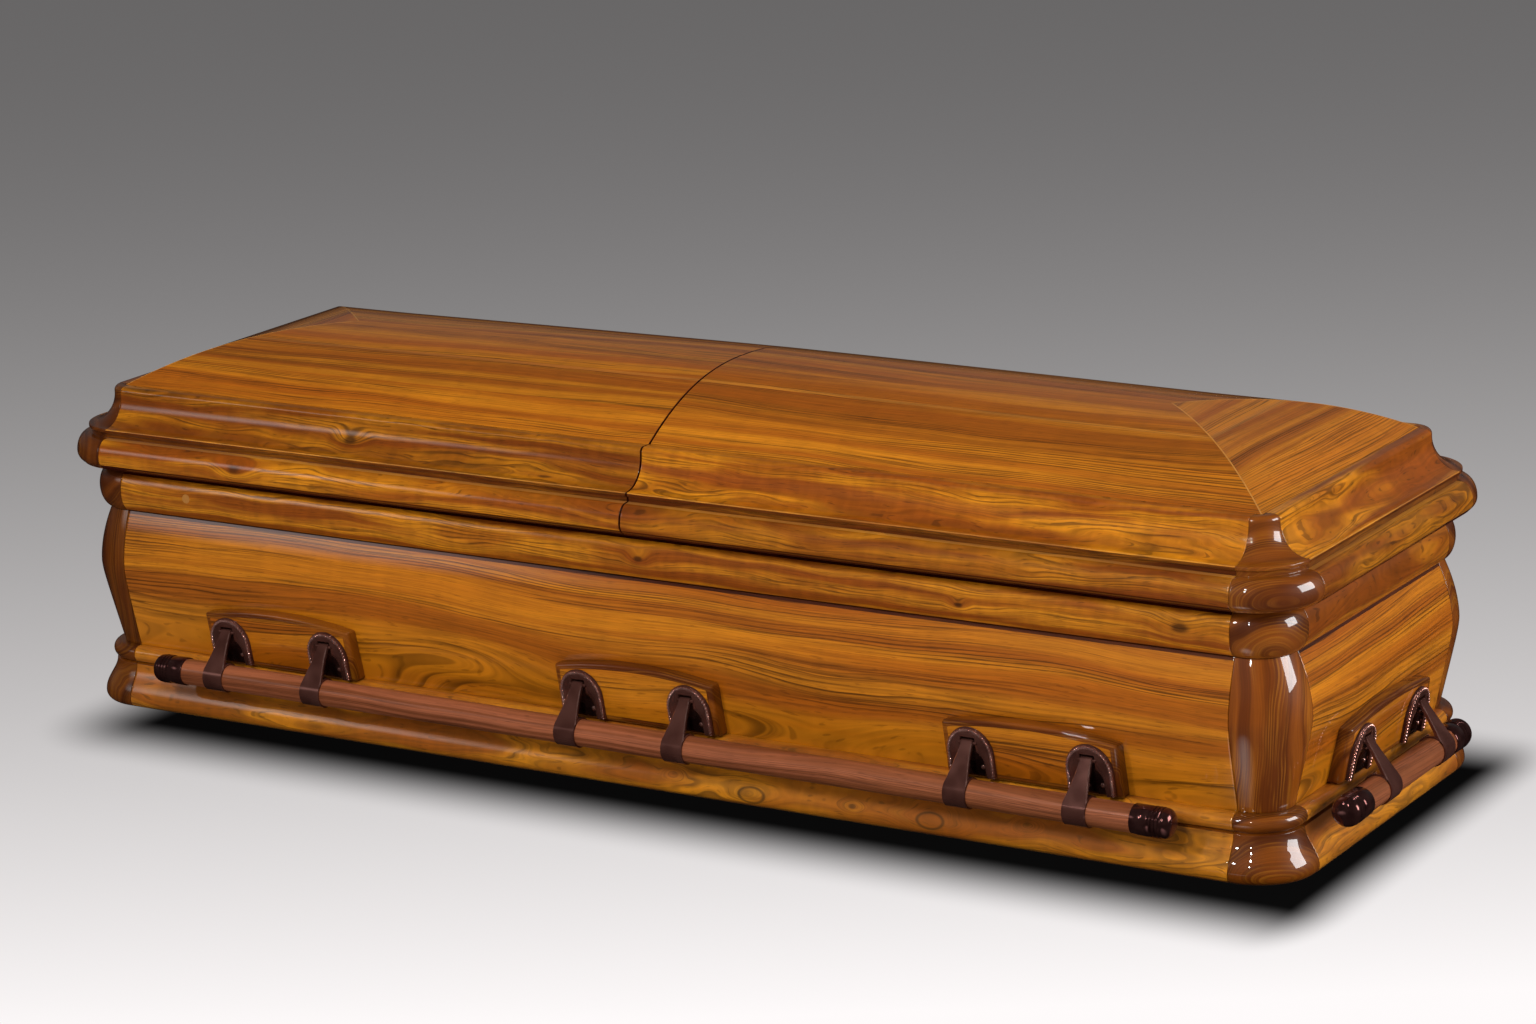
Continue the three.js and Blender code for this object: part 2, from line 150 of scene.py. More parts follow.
def writeWood(mesh, name, wood):
    # for each face corner its place in the tree, and the tone given to its face: the board's own tone together with
    # any painted shade and painted highlight
    co = np.empty(len(mesh.vertices) * 3)
    mesh.vertices.foreach_get("co", co)
    corner = np.empty(len(mesh.loops), np.int32)
    mesh.loops.foreach_get("vertex_index", corner)
    sides = np.empty(len(mesh.polygons), np.int32)
    mesh.polygons.foreach_get("loop_total", sides)
    centre = np.empty(len(mesh.polygons) * 3)
    mesh.polygons.foreach_get("center", centre)
    points, centre = co.reshape(-1, 3)[corner], centre.reshape(-1, 3) / mm
    boards = wood if isinstance(wood, list) else [wood]
    grain = np.zeros((len(corner), 3))
    tone = np.zeros((len(corner), 3))
    for number, board in enumerate(boards):
        chosen = board["where"](centre) if "where" in board else np.ones(len(centre), bool)
        mask = np.repeat(chosen, sides)
        place = (board.get("centre", (0, 0, 0)), board["along"], board.get("pith", (60, 90)))
        grain[mask] = woodGrain(points[mask], f"{name} {board.get('seed', number)}", *place)
        tone[mask] = board.get("tone", (0, 0, 0))
    for key, values in (("grain", grain), ("tone", tone)):
        layer = mesh.attributes.new(key, "FLOAT_VECTOR", "CORNER")
        layer.data.foreach_set("vector", values.ravel().astype(np.float32))


# materials
def woodMaterial(name, look):
    # year rings are the distance from the pith, bent by slow noise; each ring darkens slowly, then stops short
    material, add = newMaterial(name)

    def pattern(along, across, detail=2.0, roughness=0.5, vector=None):
        # noise whose cells are `along` mm by `across` mm, on (run, ring) or in the solid wood
        if vector is None:
            u = add("Math", {0: run, 1: 1 / (along * mm)}, operation="MULTIPLY")
            v = add("Math", {0: ring, 1: 1 / (across * mm)}, operation="MULTIPLY")
            place = add("CombineXYZ", {0: u, 1: v})
        else:
            size = (1 / (along * mm), 1 / (across * mm), 1 / (across * mm))
            place = add("VectorMath", {0: vector, 1: size}, operation="MULTIPLY")
        links = {"Vector": place, "Scale": 1.0, "Detail": detail, "Roughness": roughness}
        return add("TexNoise", links, None, noise_dimensions="2D" if vector is None else "3D")

    def ranged(value, low, high, start=0.0, end=1.0):
        # a smooth step from start to end while the value goes from low to high
        return add("MapRange", {0: value, 1: low, 2: high, 3: start, 4: end},
                   interpolation_type="SMOOTHSTEP")

    grain = add("Attribute", out="Vector", attribute_name="grain")
    tone = add("Attribute", out="Vector", attribute_name="tone")
    dark, gold, pale = add("SeparateXYZ", {0: tone}, None)
    drift = pattern(*look["drift"], vector=grain)["Color"]
    centred = add("VectorMath", {0: drift, 1: (0.5, 0.5, 0.5)}, operation="SUBTRACT")
    sway = look["sway"] * mm
    bent = add("VectorMath", {0: centred, 1: (0, sway, sway), 2: grain}, operation="MULTIPLY_ADD")
    flat = add("VectorMath", {0: bent, 1: (0, 1, 1)}, operation="MULTIPLY")
    ring = add("VectorMath", {0: flat}, out="Value", operation="LENGTH")
    run = add("SeparateXYZ", {0: grain})

    place = add("TexCoord", out="Object")
    knotDark = None
    for x, y, z, size, push, sound in [(*k, 0) for k in look["knots"]] + [(*k, 10, 1) for k in look["eyes"]]:
        away = add("VectorMath", {0: place, 1: (x * mm, y * mm, z * mm)}, operation="SUBTRACT")
        away = add("VectorMath", {0: away, 1: (0.55, 1, 1)}, operation="MULTIPLY")
        reach = add("VectorMath", {0: away}, out="Value", operation="LENGTH")
        near = ranged(reach, 0.0, 3.2 * size * mm, 1, 0)
        ring = add("Math", {0: near, 1: push * mm, 2: ring}, operation="MULTIPLY_ADD")
        heart = ranged(reach, (0.85 if sound else 0.35) * size * mm, size * mm, 1, 0)
        if sound:  # a pale middle in a dark outline
            inner = ranged(reach, 0.62 * size * mm, 0.8 * size * mm)
            heart = add("Math", {0: heart, 1: inner}, operation="MULTIPLY")
        knotDark = add("Math", {0: knotDark, 1: heart}, operation="MAXIMUM") if knotDark else heart

    band = pattern(*look["band"], 1.5)[0]
    wander = pattern(look["streak"][0], 5 * look["ringWidth"], 3.0)[0]
    count = add("Math", {0: ring, 1: 1 / (look["ringWidth"] * mm)}, operation="MULTIPLY")
    count = add("Math", {0: wander, 1: look["wander"], 2: count}, operation="MULTIPLY_ADD")
    share = add("Math", {0: count}, operation="FRACT")
    late = add("Math", {0: ranged(share, 0.45, 0.9), 1: ranged(share, 0.92, 1.0, 1, 0)},
               operation="MULTIPLY")
    bunch = ranged(pattern(*look["bunch"], 3.0)[0], *look["bunchRange"], 0.06, 1)
    streak = ranged(pattern(*look["streak"], 5.0, 0.62)[0], 0.48, 0.7)
    late = add("Math", {0: late, 1: streak}, operation="MAXIMUM")
    strength = add("Math", {0: late, 1: bunch}, operation="MULTIPLY")
    fibre = pattern(*look["fibreSize"], 2.0)[0]
    flecks = ranged(pattern(*look["fleckSize"], 1.0)[0], 0.66, 0.76)
    patch = pattern(*look["patch"], 2.0, vector=grain)[0]
    figure = pattern(*look["figureSize"], 2.0, vector=grain)[0]

    def mixed(factor, first, second, mode="MIX"):
        # first (1 - factor) + factor (first blended with second)
        return add("Mix", {0: factor, 6: first, 7: second}, out=2, data_type="RGBA", blend_type=mode)

    colour = mixed(ranged(band, 0.36, 0.64), toLinear(look["deep"]), toLinear(look["light"]))
    colour = mixed(ranged(patch, 0.42, 0.66, 0, look["warmth"]), colour, toLinear(look["warm"]))
    amount = add("Math", {0: strength, 1: look["streakStrength"]}, operation="MULTIPLY")
    colour = mixed(amount, colour, toLinear(look["line"]))
    amount = add("Math", {0: flecks, 1: look["fleck"]}, operation="MULTIPLY")
    colour = mixed(amount, colour, toLinear(look["line"]))
    shade = add("Math", {0: ranged(fibre, 0.2, 0.8, 1 - look["fibre"], 1 + look["fibre"]),
                                   1: ranged(figure, 0.3, 0.7, 1 - look["figure"], 1 + look["figure"])},
                operation="MULTIPLY")
    colour = mixed(1.0, colour, add("CombineColor", {0: shade, 1: shade, 2: shade}), "MULTIPLY")
    if knotDark:
        amount = add("Math", {0: knotDark, 1: 0.75}, operation="MULTIPLY")
        colour = mixed(amount, colour, toLinear(look["knot"]))
    # tone: dark is mostly painted shade in recesses, seams, under lip and rail and at the head end; pale is mostly
    # painted highlight and painted light, and also paler plug wood
    colour = mixed(dark, colour, mixed(1.0, colour, toLinear(look["darkTint"]), "MULTIPLY"))
    colour = mixed(gold, colour, mixed(1.0, colour, (*look["goldTint"], 1.0), "MULTIPLY"))
    colour = mixed(pale, colour, toLinear(look["pale"]))

    shader = add("BsdfPrincipled", {
        "Base Color": colour, "Roughness": look["roughness"], "IOR": look["ior"],
        "Specular IOR Level": look["specular"], "Coat Weight": look["coat"],
        "Coat Roughness": look["coatRoughness"], "Coat IOR": look["coatIor"]})
    add("OutputMaterial", {"Surface": shader}, None)
    return material


# Glossy clear lacquer sprayed and flatted over stained hardwood: deep colour with long dark streaks under
# a hard wet gloss. Pattern sizes are (along, across) the grain in mm.
lacqueredWood = {
    "deep": "#944E08", "light": "#B46C10", "warm": "#9C4E06", "warmth": 0.45, "line": "#331702",
    "pale": "#D09A50", "knot": "#2A1203", "darkTint": "#5A2C1C", "goldTint": (1.2, 1.2, 1.0),
    "drift": (800, 240), "sway": 70, "band": (2200, 24), "patch": (900, 60), "ringWidth": 4.2, "wander": 3.0,
    "bunch": (1300, 22), "bunchRange": (0.45, 0.6), "streak": (420, 2.4), "streakStrength": 0.78,
    "fibreSize": (130, 1.7), "fibre": 0.2, "fleckSize": (30, 1.2), "fleck": 0.35,
    "figureSize": (34, 130), "figure": 0.04, "knots": [], "eyes": [],
    "roughness": 0.45, "ior": 1.5, "specular": 0.15, "coat": 1.0, "coatRoughness": 0.03, "coatIor": 1.5,
}
# The same lacquer on short-grained mouldings: livelier figure. Knots are (x, y, z, size, push of the rings).
mouldingWood = {
    **lacqueredWood, "deep": "#7E3E05", "light": "#BC740F", "warm": "#803C05", "warmth": 0.6,
    "drift": (260, 60), "sway": 36, "streak": (200, 2.4), "streakStrength": 0.65, "band": (420, 15),
    "patch": (150, 30), "bunch": (420, 15), "bunchRange": (0.5, 0.64), "figureSize": (18, 40), "figure": 0.09,
    "fleck": 0.5,
    "knots": [(9, -319, 348, 6, 9), (537, -319, 342, 5, 8), (362, -331, 27, 5, 12), (640, -326, 40, 6, 14),
              (877, -319, 350, 10, 12), (-517, -293, 467, 9, 14), (-700, -345, 415, 10, 12), (60, -330, 34, 5, 12)],
    "eyes": [(489, -331, 24, 14), (195, -333, 20, 14)],
}
# Red-brown stain under the same lacquer: darker, with pale streaks in place of dark ones.
cornerWood = {
    **lacqueredWood, "deep": "#4C2004", "light": "#7A3E08", "warm": "#622C05", "line": "#9C6014", "warmth": 0.4,
    "pale": "#A86A2A", "drift": (260, 70), "sway": 30, "band": (500, 18), "ringWidth": 4.0, "wander": 2.0,
    "bunch": (160, 26), "bunchRange": (0.42, 0.6), "streak": (320, 2.6), "streakStrength": 0.42, "fleck": 0.0,
    "fibre": 0.12,
}
# Stained bar stock under a thin satin coat: a soft sheen and fine close streaks.
barWood = {
    **lacqueredWood, "deep": "#723C20", "light": "#925234", "warm": "#824A28", "line": "#3A1A0C",
    "ringWidth": 2.4, "streak": (160, 2.0), "streakStrength": 0.6, "band": (2200, 9),
    "figure": 0.03, "fibre": 0.16, "roughness": 0.5, "coat": 0.5, "coatRoughness": 0.22,
}
bodyLacquer = woodMaterial("gloss lacquered elm", lacqueredWood)
mouldingLacquer = woodMaterial("gloss lacquered elm moulding", mouldingWood)
cornerLacquer = woodMaterial("gloss lacquered red-brown corner wood", cornerWood)
barLacquer = woodMaterial("satin stained bar wood", barWood)


def metalMaterial(name, dark, light, patch, roughness, metallic):
    # plated metal whose colour and roughness drift from dark to light in clouds `patch` mm wide
    material, add = newMaterial(name)
    place = add("TexCoord", out="Object")
    cloud = add("TexNoise", {"Vector": place, "Scale": 1 / (patch * mm), "Detail": 1.5, "Roughness": 0.5})
    amount = add("MapRange", {0: cloud, 1: 0.35, 2: 0.65})
    colour = add("Mix", {0: amount, 6: toLinear(dark), 7: toLinear(light)}, 2, data_type="RGBA")
    rough = add("MapRange", {0: cloud, 1: 0.3, 2: 0.7, 3: roughness[0], 4: roughness[1]})
    shader = add("BsdfPrincipled", {"Base Color": colour, "Metallic": metallic, "Roughness": rough})
    add("OutputMaterial", {"Surface": shader}, None)
    return material


# Antique copper plate over a zinc casting, toned dark and relieved on the high parts: brown-violet sheen. The
# relieved colour, bright on edges, rope and screw heads, is partly a painted highlight.
antiqueCopper = metalMaterial("antique copper plate, toned", "#56322A", "#6A4239", 30, (0.18, 0.24), 0.65)
darkCopper = metalMaterial("antique copper plate, dark recess", "#2A1614", "#3A2420", 14, (0.2, 0.3), 0.7)
brightCopper = metalMaterial("antique copper plate, relieved edge and painted highlight", "#A87468", "#C6968A", 9, (0.12, 0.18), 0.85)
capMetal = metalMaterial("dark copper cap, polished", "#4A2A28", "#5C3A36", 14, (0.1, 0.15), 0.85)
print("materials: done")

# plan
box = {"halfLength": 1042, "halfWidth": 331, "cornerRadius": 84, "cornerSteps": 20, "blockReach": 8, "gap": 0.3}
walls = {"front": (0, box["halfWidth"]), "foot": (90, box["halfLength"]),
         "back": (180, box["halfWidth"]), "head": (270, box["halfLength"])}
corners = {"foot_front": (1, -1, -90), "foot_back": (1, 1, 0), "head_back": (-1, 1, 90), "head_front": (-1, -1, 180)}


def turned(x, y, degrees):
    # (x, y) turned about the Z axis
    c, s = math.cos(math.radians(degrees)), math.sin(math.radians(degrees))
    return c * x - s * y, s * x + c * y


def endEase(ease):
    # the last stations at each end sink inward, so that a joint shows as a fine eased line
    return np.array([0, 0.35 * ease, ease, ease + 2]), np.array([ease, 0.3 * ease, 0, 0])


def wallPath(wall, start, end, ease=0.5):
    # along a straight wall: (x, -(distance + offset)) turned to that wall
    turn, distance = walls[wall]
    inset, sink = endEase(ease)
    along = np.concatenate([start + inset, (end - inset)[::-1]])[:, None]
    down = np.concatenate([sink, sink[::-1]])[:, None]

    def place(offset):
        x, y = np.broadcast_arrays(along, -(distance + offset[None, :] - down))
        return np.dstack(turned(x, y, turn))
    return place


def cornerPath(corner, ease=0.5, reach=None, tightFrom=None):
    # round a corner: centre + radius (cos a, sin a) + along (-sin a, cos a), with radius = cornerRadius + offset;
    # with a short reach the arc starts where its own height over the wall's line is `reach` long
    signX, signY, first = corners[corner]
    reach = (box["blockReach"] if reach is None else reach) - box["gap"]
    inset, sink = endEase(ease)
    outer = np.array([-2 - ease, -2 - 0.65 * ease, -2, 0])
    share = np.concatenate([np.zeros(4), np.linspace(0, 1, box["cornerSteps"] + 1), np.ones(4)])[:, None]
    middle = np.zeros(box["cornerSteps"] + 1)
    ahead = np.concatenate([outer, middle, -outer[::-1]])[:, None]
    lead = np.concatenate([-np.ones(4), middle, np.ones(4)])[:, None]
    down = np.concatenate([sink, middle, sink[::-1]])[:, None]

    def place(offset):
        offset = offset[None, :]
        radius = box["cornerRadius"] + offset
        if tightFrom is not None:
            start, end = tightFrom
            tight = (box["cornerRadius"] + start) * np.clip((offset - end) / (start - end), 0.03, 1)
            radius = np.where(offset < start, tight, radius)
        extra = reach - 2 - ease + box["cornerRadius"] + offset - radius
        skip = np.arcsin(np.clip(-extra / radius, 0, 0.7))
        angle = math.radians(first) + skip + share * (math.pi / 2 - 2 * skip)
        along = ahead + lead * np.clip(extra, 0, None)
        centreX = signX * (box["halfLength"] + offset - radius)
        centreY = signY * (box["halfWidth"] + offset - radius)
        radius = radius - down
        return np.dstack([centreX + radius * np.cos(angle) - along * np.sin(angle),
                          centreY + radius * np.sin(angle) + along * np.cos(angle)])
    return place


def swept(path, outline):
    # a closed outline of (offset, height) carried along a path, with a flat face at each end
    plan = path(outline[:, 0])
    rows, cols = plan.shape[:2]
    points = np.dstack([plan, np.broadcast_to(outline[:, 1], (rows, cols))]).reshape(-1, 3)
    ends = [list(range(cols)), [(rows - 1) * cols + i for i in range(cols)]]
    return points, gridFaces(rows, cols, wrapCols=True) + ends, 0


def ringOfPieces(level, outline, nodes, materials, ease, tones, reach, tightFrom=None, split=None):
    # a moulding round the whole box: four straight lengths and four corner blocks
    runX = box["halfLength"] - box["cornerRadius"] - reach
    runY = box["halfWidth"] - box["cornerRadius"] - reach
    gap = box["gap"]
    for wall in walls:
        run = (runX if wall in ("front", "back") else runY) - gap
        turn = walls[wall][0]
        along = (*turned(1, 0, turn), 0)
        spans = [(-run, run, level)]
        if split and wall in ("front", "back"):
            first, second = (("head", "foot") if wall == "front" else ("foot", "head"))
            spans = [(-run, -split, f"{level}_{first}"), (split, run, f"{level}_{second}")]
        for start, end, label in spans:
            name = f"{label}_{wall}"
            boards = [{**board, "along": along} for board in tones(name)]
            addPiece(name, [swept(wallPath(wall, start, end, ease), outline)], materials[:1], "coffin",
                     nodes.get(name, ()), boards)
    for corner in corners:
        signX, signY, _ = corners[corner]
        along = (signX, -signY, 0.15)
        centre = (signX * (box["halfLength"] - 40), signY * (box["halfWidth"] - 40), outline[:, 1].mean())
        name = f"{level}_corner_{corner}"
        # darker at the head end: painted shade on the far end's blocks
        tone = (0.4 if signX < 0 else 0.1, 0, 0)
        boards = [{"along": along, "centre": centre, "pith": (70, 55), "tone": tone}]
        addPiece(name, [swept(cornerPath(corner, ease, reach, tightFrom), outline)], materials[1:], "coffin",
                 nodes.get(name, ()), boards)


# base
base = {"height": 94.5, "inset": 54, "footRound": 13, "footBulge": 2, "neckInset": 19.5, "neckHeight": 67,
        "beadRadius": 13, "beadInset": 28, "quirk": 24.8, "ease": 0.5}
t = np.linspace(0, 1, 19)[1:]
swell = np.stack([base["footBulge"] - (base["footBulge"] + base["neckInset"]) * (1 - np.cos(np.pi * t)) / 2,
                  base["footRound"] + (base["neckHeight"] - base["footRound"]) * t], 1)
baseOutline = eased(np.concatenate([
    [[-base["inset"], 0]],
    arc(base["footBulge"] - base["footRound"], base["footRound"], base["footRound"], base["footRound"], -90, 0, 10),
    swell,
    arc(-base["beadInset"], base["height"] - base["beadRadius"], base["beadRadius"], base["beadRadius"], -72, 90, 18),
    [[-base["inset"], base["height"]]]]), 0.7)


def bands(*rows):
    # bands by height, boards and bands of painted shade and painted highlight: each row (seed, pith, from, up to,
    # tone) paints over the rows before it
    return [{"seed": seed, "pith": pith, "tone": tone,
             "where": lambda c, low=low, high=high: (c[:, 2] > low) & (c[:, 2] <= high)}
            for seed, pith, low, high, tone in rows]


def baseTones(name):
    # the whole base golden and a little paler, partly the board's colour and partly painted light, with painted shade
    # in the quirk under the bead
    return bands((0, (120, 60), -1, 999, (0, 1, 0.08)), ("quirk", (120, 60), 66.5, 71.5, (0.6, 0, 0)))


ringOfPieces("base", baseOutline, {"base_front": ["base_moulding"]},
             [mouldingLacquer, cornerLacquer], base["ease"], baseTones, box["blockReach"])

# the bottom board: a flat slab inside the base moulding, one long board along X
board = {"inset": 54.3, "thickness": 18}
edge = np.concatenate([cornerPath(c, 0.0)(np.array([-board["inset"]]))[:, 0] for c in corners])
count = len(edge)
points = np.concatenate([np.column_stack([edge, np.full(count, h)]) for h in (0, board["thickness"])])
addPiece("bottom board", [(points, gridFaces(2, count, wrapCols=True) +
                           [list(range(count)), list(range(count, 2 * count))], 0)],
         [bodyLacquer], "coffin", ["bottom_board"], {"along": (1, 0, 0), "pith": (0, 120)})
print("base: done")

# walls
wall = {"bodyTop": 313.5, "bellyHeight": 226, "bellyInset": 6.3, "dropUp": 22.5, "dropDown": 27.5,
        "softness": 0.12, "thickness": 20, "ease": 0.9, "levels": 54, "pith": (150, 130)}


def bodyOffset(height):
    # above the belly: -inset - dropUp a^1.75; below it: -inset - dropDown of a softened straight taper
    above = np.clip((height - wall["bellyHeight"]) / (wall["bodyTop"] - wall["bellyHeight"]), 0, None)
    below = np.clip((wall["bellyHeight"] - height) / (wall["bellyHeight"] - base["height"]), 0, None)
    soft = wall["softness"]
    bend = (np.sqrt(below ** 2 + soft ** 2) - soft) / (math.sqrt(1 + soft ** 2) - soft)
    return -wall["bellyInset"] - wall["dropUp"] * above ** 1.75 - wall["dropDown"] * bend


heights = np.linspace(base["height"] + box["gap"], wall["bodyTop"], wall["levels"])
outside = np.stack([bodyOffset(heights), heights], 1)
inside = np.stack([bodyOffset(heights) - wall["thickness"], heights], 1)[::-1]
wallOutline = np.concatenate([outside, inside])
runs = {"front": box["halfLength"], "back": box["halfLength"], "foot": box["halfWidth"], "head": box["halfWidth"]}
panelNodes = {"front": "panel_front", "back": "panel_back", "foot": "panel_foot_end", "head": "panel_head_end"}
for side, node in panelNodes.items():
    run = runs[side] - box["cornerRadius"] - box["blockReach"] - box["gap"]
    wood = {"along": (*turned(1, 0, walls[side][0]), 0), "pith": wall["pith"],
            "centre": (*turned(0, -walls[side][1], walls[side][0]), 205)}
    # the panel's top band, under the rail, carries painted shade
    boards = [{**wood, "tone": (0, 0.7, 0) if side in ("foot", "head") else (0, 0, 0)},
              {**wood, "seed": 0, "where": lambda c: c[:, 2] > 309, "tone": (0.9, 0, 0)}]
    addPiece(f"panel {side}", [swept(wallPath(side, -run, run, wall["ease"]), wallOutline)], [bodyLacquer],
             "coffin", [node], boards)
for corner, (signX, signY, first) in corners.items():
    # the head end's posts darker, painted shade on the far end; the foot end's posts more golden
    wood = {"along": (0.04, 0.03, 1), "pith": (110, 70), "tone": (0.4, 0, 0) if signX < 0 else (0, 0.8, 0),
            "centre": (signX * (box["halfLength"] - 60), signY * (box["halfWidth"] - 60), 200)}
    addPiece(f"post {corner}", [swept(cornerPath(corner, wall["ease"]), wallOutline)], [cornerLacquer],
             "coffin", [f"post_{corner}"], wood)
print("walls: done")

# top rail
rail = {"top": 388, "halfHeight": 33, "depth": 20, "rootInset": 32, "inset": 56, "quirk": 25.5, "fillet": 22.5,
        "filletFoot": 379, "ease": 0.5}
foot = wall["bodyTop"] + box["gap"]
railOutline = eased(np.concatenate([
    [[-rail["inset"], foot]],
    arc(-rail["rootInset"], foot + rail["halfHeight"], rail["depth"], rail["halfHeight"], -90, 68, 30),
    [[-rail["quirk"], rail["filletFoot"] - 1.2], [-rail["fillet"], rail["filletFoot"]],
     [-rail["fillet"], rail["top"]], [-rail["inset"], rail["top"]]]]), 0.7)


def railTones(name):
    # painted shade makes the quirk behind the fillet nearly black and darkens the rail's foot against the panel; the
    # fillet is darkened to red-brown; a painted highlight runs along the fillet's lower edge
    pith, dark = (120, 50), (1, 0, 0)
    return bands((0, pith, -1, 999, (0.05, 0, 0)), ("quirk", pith, 374.5, 379.2, dark),
                 ("fillet", pith, 379.2, 999, dark), ("fillet", pith, 378.9, 380.2, (0, 0, 0.2)),
                 ("foot", pith, -1, 317, dark))


ringOfPieces("rail", railOutline, {"rail_front": ["top_rail"]}, [mouldingLacquer, cornerLacquer],
             rail["ease"], railTones, box["blockReach"])

# the wooden plug in the front of the rail: a disc that follows the half round, with a sunk edge
plug = {"along": -821, "height": 350, "radius": 7.6, "lift": 0.35, "edge": 0.7}
turn = np.linspace(0, 2 * np.pi, 48, endpoint=False)[None, :]
reach = np.array([0.05, 0.5, 0.8, 1 - plug["edge"] / plug["radius"], 1.0])[:, None]
lift = np.array([plug["lift"]] * 4 + [-0.6])[:, None]
x = plug["along"] + plug["radius"] * reach * np.cos(turn)
z = plug["height"] + plug["radius"] * reach * np.sin(turn)
rise = (z - foot - rail["halfHeight"]) / rail["halfHeight"]
y = -(box["halfWidth"] - rail["rootInset"] + rail["depth"] * np.sqrt(1 - rise ** 2) + lift)
disc = np.dstack([x, y, z]).reshape(-1, 3)
caps = [list(range(48)), list(range(4 * 48, 5 * 48))]
addPiece("rail plug", [(disc, gridFaces(5, 48, wrapCols=True) + caps, 0)], [mouldingLacquer], "coffin", (),
         {"along": (0, 1, 0.1), "centre": (plug["along"], -300, 350), "pith": (20, 12),
                       "tone": (0, 0, 0.35)})

# lid rims
rim = {"foot": 388.3, "lipReach": 18.5, "lipHeight": 405, "lipDrop": 17, "lipRise": 28.4, "underLip": 8.6,
       "grooveInset": 6.8, "grooveFoot": 434.2, "grooveTop": 441, "edgeInset": 2.6, "edgeFoot": 443, "edgeTop": 447.6,
       "coveInset": 4, "coveTop": 495, "coveReach": 42, "coveRise": 46.5, "nose": 8, "ledge": 505, "crownInset": 68,
       "seat": 488.5, "seatInset": 80, "shoulder": 478, "waist": 440, "seam": 1.0, "ease": 0.6, "blockReach": -6}
noseInset = rim["coveInset"] + rim["coveReach"]
rimOutline = eased(np.concatenate([
    [[-rail["inset"], rim["foot"]], [rim["underLip"], rim["foot"]]],
    arc(0, rim["lipHeight"], rim["lipReach"], rim["lipDrop"], -62, 0, 8),
    arc(0, rim["lipHeight"], rim["lipReach"], rim["lipRise"], 0, 85, 14)[1:],
    [[-rim["grooveInset"], rim["grooveFoot"]], [-rim["grooveInset"], rim["grooveTop"]],
     [-rim["edgeInset"], rim["edgeFoot"]], [-rim["edgeInset"], rim["edgeTop"]]],
    arc(-rim["coveInset"], rim["coveTop"], rim["coveReach"], rim["coveRise"], 270, 180, 22),
    arc(-noseInset - rim["nose"], rim["ledge"] - rim["nose"], rim["nose"], rim["nose"], 0, 90, 8),
    [[-rim["crownInset"], rim["ledge"]], [-rim["crownInset"], rim["seat"]], [-rim["seatInset"], rim["seat"]],
     [-rim["seatInset"], rim["shoulder"]], [-rail["inset"], rim["waist"]]]]), 0.8)


def rimTones(name):
    # two mouldings glued one on the other: the cove above the upper thin edge, the ovolo below the groove
    foot = "foot" in name
    # the ends where the lid halves meet carry painted shade
    seam = {"seed": "lip", "pith": (120, 50), "tone": (1, 0, 0),
            "where": lambda c: np.abs(c[:, 0]) < rim["seam"] + rim["ease"]}
    # painted shade in the groove and under the lip; painted highlights along the two thin edges, at about 447 and 434
    # mm
    return bands(("cove", (120, 60), 441.5, 999, (0, 0.4, 0) if foot else (0.3, 0, 0)),
                 ("groove", (90, 60), 434, 446.9, (0.7, 0, 0)),
                 ("cove", (120, 60), 447.2, 448.3, (0, 0, 0.25)),
                 ("ovolo", (120, 50), -1, 433.6, (0.25 if foot else 0, 0, 0)),
                 ("ovolo", (120, 50), 433.3, 434.3, (0, 0, 0.25)),
                 ("lip", (120, 50), -1, 395.5, (1, 0, 0))) + [seam]


ringOfPieces("rim", rimOutline, {"rim_head_front": ["lid_head_rim"], "rim_foot_front": ["lid_foot_rim"]},
             [mouldingLacquer, cornerLacquer], rim["ease"], rimTones, rim["blockReach"],
             tightFrom=(-noseInset - rim["nose"], -rim["crownInset"]), split=rim["seam"])
print("rail and rims: done")

# lid crowns
crown = {"edge": 503, "thickness": 14.5, "seat": 12, "rise": 78, "roundness": 2.3, "camber": 0.09,
         "seam": 1.0, "mitre": 0.15, "mitreLine": 1.3,
         "seams": [0, 60, 113, 124, 195, 400],  # boards glued side by side: distances from the ridge
         "tones": [(0.0, 0.35, 0), (0.0, 0.15, 0), (0, 0.6, 0.12), (0.12, 0.0, 0), (0.0, 0.5, 0)]}
halfWidth = box["halfWidth"] - rim["crownInset"]
halfLength = box["halfLength"] - rim["crownInset"]


def crownHeight(inward, x):
    # edge + rise (1 - camber |x/apex|^1.3) (1 - (1 - inward/halfWidth)^roundness)
    apex = halfLength - halfWidth
    rise = crown["rise"] * (1 - crown["camber"] * (np.minimum(np.abs(x), apex) / apex) ** 1.3)
    return crown["edge"] + rise * (1 - np.clip(1 - inward / halfWidth, 0, 1) ** crown["roundness"])


